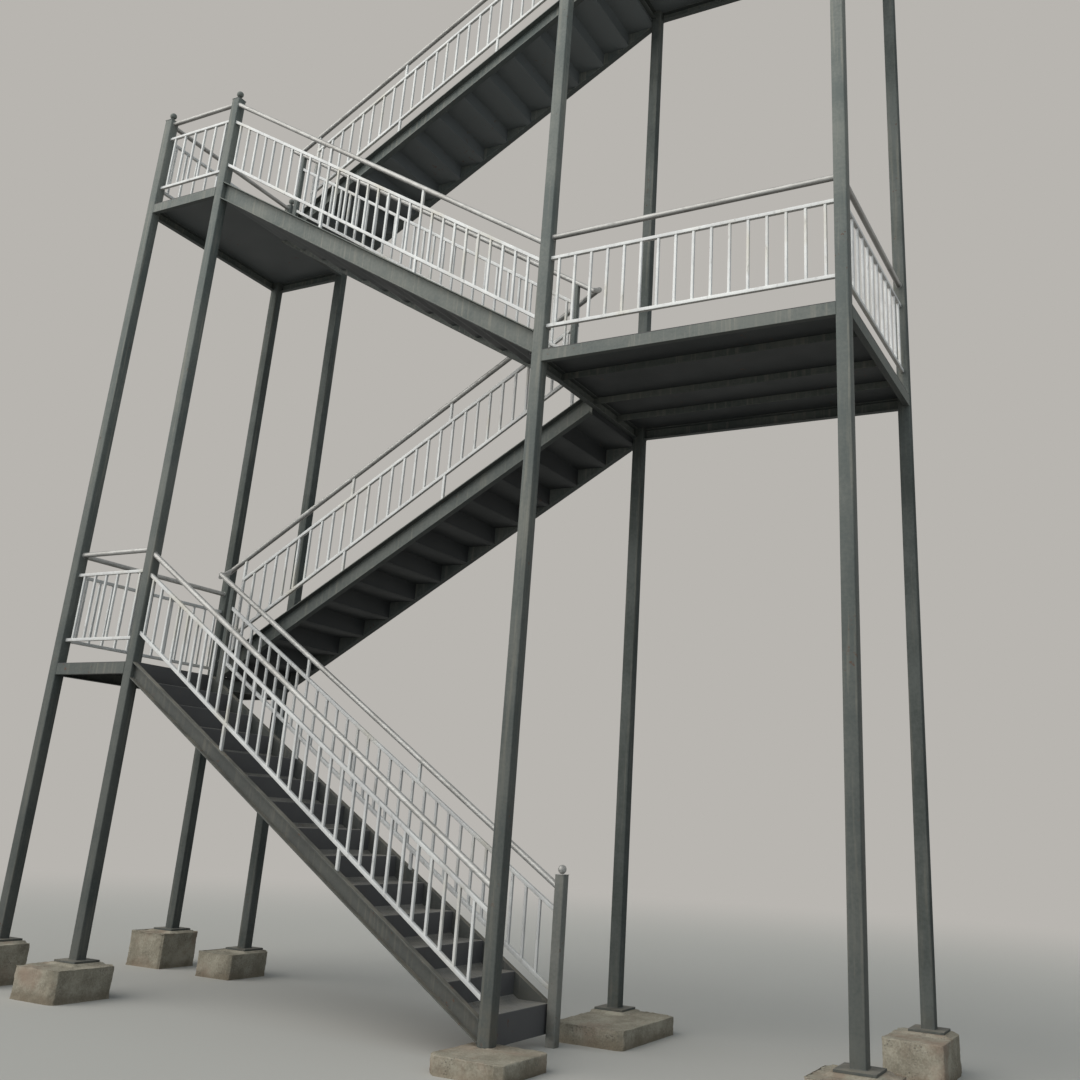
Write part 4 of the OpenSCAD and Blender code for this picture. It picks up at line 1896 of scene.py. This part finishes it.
        pieces = []
        for height in (self.bottom_height, self.top_height):
            low = corner(span[0], -half, deck + height - half)
            high = corner(span[1], half, deck + height + half)
            pieces.append(Bench.block("bar", low, high, axis, self.corner))
        gaps = round((span[1] - span[0]) / self.level_pitch)
        pitch = (span[1] - span[0]) / gaps
        x, y, _ = corner(span[0] + pitch / 2, 0, 0)
        foot = deck + self.bottom_height
        upright = self.upright(x, y, foot, deck + self.top_height, self.baluster)
        step = (pitch, 0, 0) if axis == 0 else (0, pitch, 0)
        Bench.row(upright, step, gaps)
        return [*pieces, upright]


@dataclass
class InnerPosts:
    """Square posts at the ends of the inner rails."""

    rails: Rails
    side: float = 0.050
    corner: float = 0.005
    seat: float = 0.022
    left: float = 0.110
    right: float = 3.793
    guard: float = 1.000

    @property
    def half(self) -> Vector:
        """Half of a post's plan."""
        return Vector((self.side, self.side, 0)) / 2

    def faces(self) -> Pair:
        """Faces of the two posts of a flight that look at each other, along X."""
        edge = self.rails.plan.left
        return (edge + self.left + self.side / 2, edge + self.right - self.side / 2)

    def guard_face(self) -> float:
        """Near face of the post beside the open lane of the top platform."""
        return self.rails.plan.front + self.guard - self.side / 2

    def build(self) -> None:
        """Make the four posts."""
        plan = self.rails.plan
        places = ((0, self.left), (2, self.left), (2, self.right))
        posts = [self.post(level, plan.left + x) for level, x in places]
        foot = Vector((self.rails.guard_x, plan.front + self.guard, plan.levels[TOP_LEVEL]))
        head = Vector((foot.x, foot.y, self.rails.back_z(TOP_LEVEL) - self.seat))
        low, high = foot - self.half, head + self.half
        posts.append(Bench.block("guard_post", low, high, 2, self.corner))
        hand_over("inner_square_posts", posts, Slot.STEEL, Finish.STEEL, "inner_posts")

    def post(self, level: int, x: float) -> Piece:
        """Make a post on a stringer, cut to the slopes below and above it.

        Args:
            level: The level that its flight climbs to.
            x: Its centre along X.

        Returns:
            The post.
        """
        edge = Flight(self.rails.plan, level).top_edge
        line = self.rails.inner(level)
        y = self.rails.inner_y
        spare = Vector((0, 0, self.side))
        foot = edge.at(x, y)
        head = line.at(x, y, -self.seat)
        low, high = foot - self.half - spare, head + self.half + spare
        post = Bench.block("post", low, high, 2, self.corner)
        Bench.cut(post, foot, edge.upright(-1))
        Bench.cut(post, head, line.upright(1))
        return post


@dataclass
class Studio:
    """The camera, the lights, the backdrop and the floor."""

    place: Point = (5.6414, -7.8641, 1.547)
    turn: Point = (1.90271, -0.05136, 0.46731)
    sensor: float = 36.0
    lens: float = 36.8245
    shift: Pair = (-0.06032, -0.08770)
    backdrop: Colour = srgb(184, 181, 176)
    floor: Colour = srgb(190, 187, 181)
    floor_bounce: Colour = srgb(138, 136, 132)
    sky: Colour = (0.84, 0.94, 1.0, 1.0)
    sky_strength: float = 0.62
    behind: Pair = (-0.1, 0.4)
    behind_share: float = 0.35
    key_from: Point = (-0.50, -0.75, 0.60)
    key_strength: float = 1.9
    key_colour: Point = (1.0, 0.965, 0.91)
    key_softness: float = math.radians(70)
    far: float = 200.0
    floor_size: float = 160.0
    fade: Pair = (7.0, 20.0)

    def build(self) -> None:
        """Set up the studio."""
        scene = bpy.context.scene
        scene.view_settings.view_transform = "Standard"
        camera = bpy.data.objects.new("camera", bpy.data.cameras.new("camera"))
        scene.collection.objects.link(camera)
        camera.location = self.place
        camera.rotation_euler = self.turn
        camera.data.sensor_width = self.sensor
        camera.data.lens = self.lens
        camera.data.shift_x, camera.data.shift_y = self.shift
        camera.data.clip_end = self.far
        scene.camera = camera
        key = bpy.data.objects.new("key", bpy.data.lights.new("key", "SUN"))
        scene.collection.objects.link(key)
        key.data.energy = self.key_strength
        key.data.color = self.key_colour
        key.data.angle = self.key_softness
        key.rotation_euler = Vector(self.key_from).to_track_quat("Z", "Y").to_euler()
        self.world()
        self.ground()

    @staticmethod
    def seen(nodes: Nodes) -> Value:
        """Tell rays that come from the camera or from a reflection.

        Args:
            nodes: The tree in work.

        Returns:
            1 for such rays.
        """
        path = nodes.node("ShaderNodeLightPath")
        kinds = ("Is Camera Ray", "Is Glossy Ray", "Is Transmission Ray")
        camera, glossy, through = (Value(nodes, path.outputs[kind]) for kind in kinds)
        return (camera + glossy + through).between(0.0, 1.0)

    def world(self) -> None:
        """Make the sky, dimmer behind the stair, and pale to the camera."""
        world = bpy.data.worlds.new("studio")
        bpy.context.scene.world = world
        world.use_nodes = True
        nodes = Nodes(world.node_tree)
        nodes.tree.nodes.clear()
        _, deep, _ = nodes.split(nodes.node("ShaderNodeTexCoord").outputs["Generated"])
        lights = (
            (self.sky, self.sky_strength),
            (self.sky, self.sky_strength * self.behind_share),
            (self.backdrop, 1.0),
        )
        before, behind, pale = (
            nodes.node("ShaderNodeBackground", None, {"Color": colour, "Strength": strength})
            for colour, strength in lights
        )
        sky = nodes.mixed(deep.between(*self.behind), before.outputs[0], behind.outputs[0])
        surface = nodes.mixed(self.seen(nodes), sky, pale.outputs[0])
        nodes.node("ShaderNodeOutputWorld", None, {"Surface": surface})

    def ground(self) -> None:
        """Lay the floor, which fades into the backdrop."""
        bpy.ops.object.select_all(action="DESELECT")
        bpy.ops.mesh.primitive_plane_add(size=self.floor_size)
        floor = Bench.settle("floor")
        material = bpy.data.materials.new("floor")
        material.use_nodes = True
        nodes = Nodes(material.node_tree)
        nodes.tree.nodes.clear()
        place = nodes.node("ShaderNodeTexCoord").outputs["Object"]
        far = nodes.node("ShaderNodeVectorMath", {"operation": "LENGTH"}, {"Vector": place})
        fade = Value(nodes, far.outputs["Value"]).between(*self.fade)
        seen = self.seen(nodes)
        colour = nodes.blend(seen, self.floor_bounce, self.floor)
        matt = nodes.node("ShaderNodeBsdfDiffuse", None, {"Color": colour})
        glow = nodes.node("ShaderNodeEmission", None, {"Color": self.backdrop, "Strength": 1.0})
        surface = nodes.mixed(seen * fade, matt.outputs[0], glow.outputs[0])
        nodes.node("ShaderNodeOutputMaterial", None, {"Surface": surface})
        floor.data.materials.append(material)


def main() -> None:
    """Build the stair's looks and its studio in order."""
    logging.basicConfig(level=logging.INFO, format="%(name)s: %(message)s")
    Studio().build()
    plan = Plan()
    rails = Rails(plan)
    columns = Columns()
    columns.build()
    PostCaps().build()
    NewelPost(columns).build()
    Footings().build()
    Framing(plan).build()
    for index in range(FLIGHTS):
        Steps(Flight(plan, index)).build()
    Handrails(rails).build()
    Panels(rails).build()
    InnerPosts(rails).build()


if __name__ == "__main__":
    main()
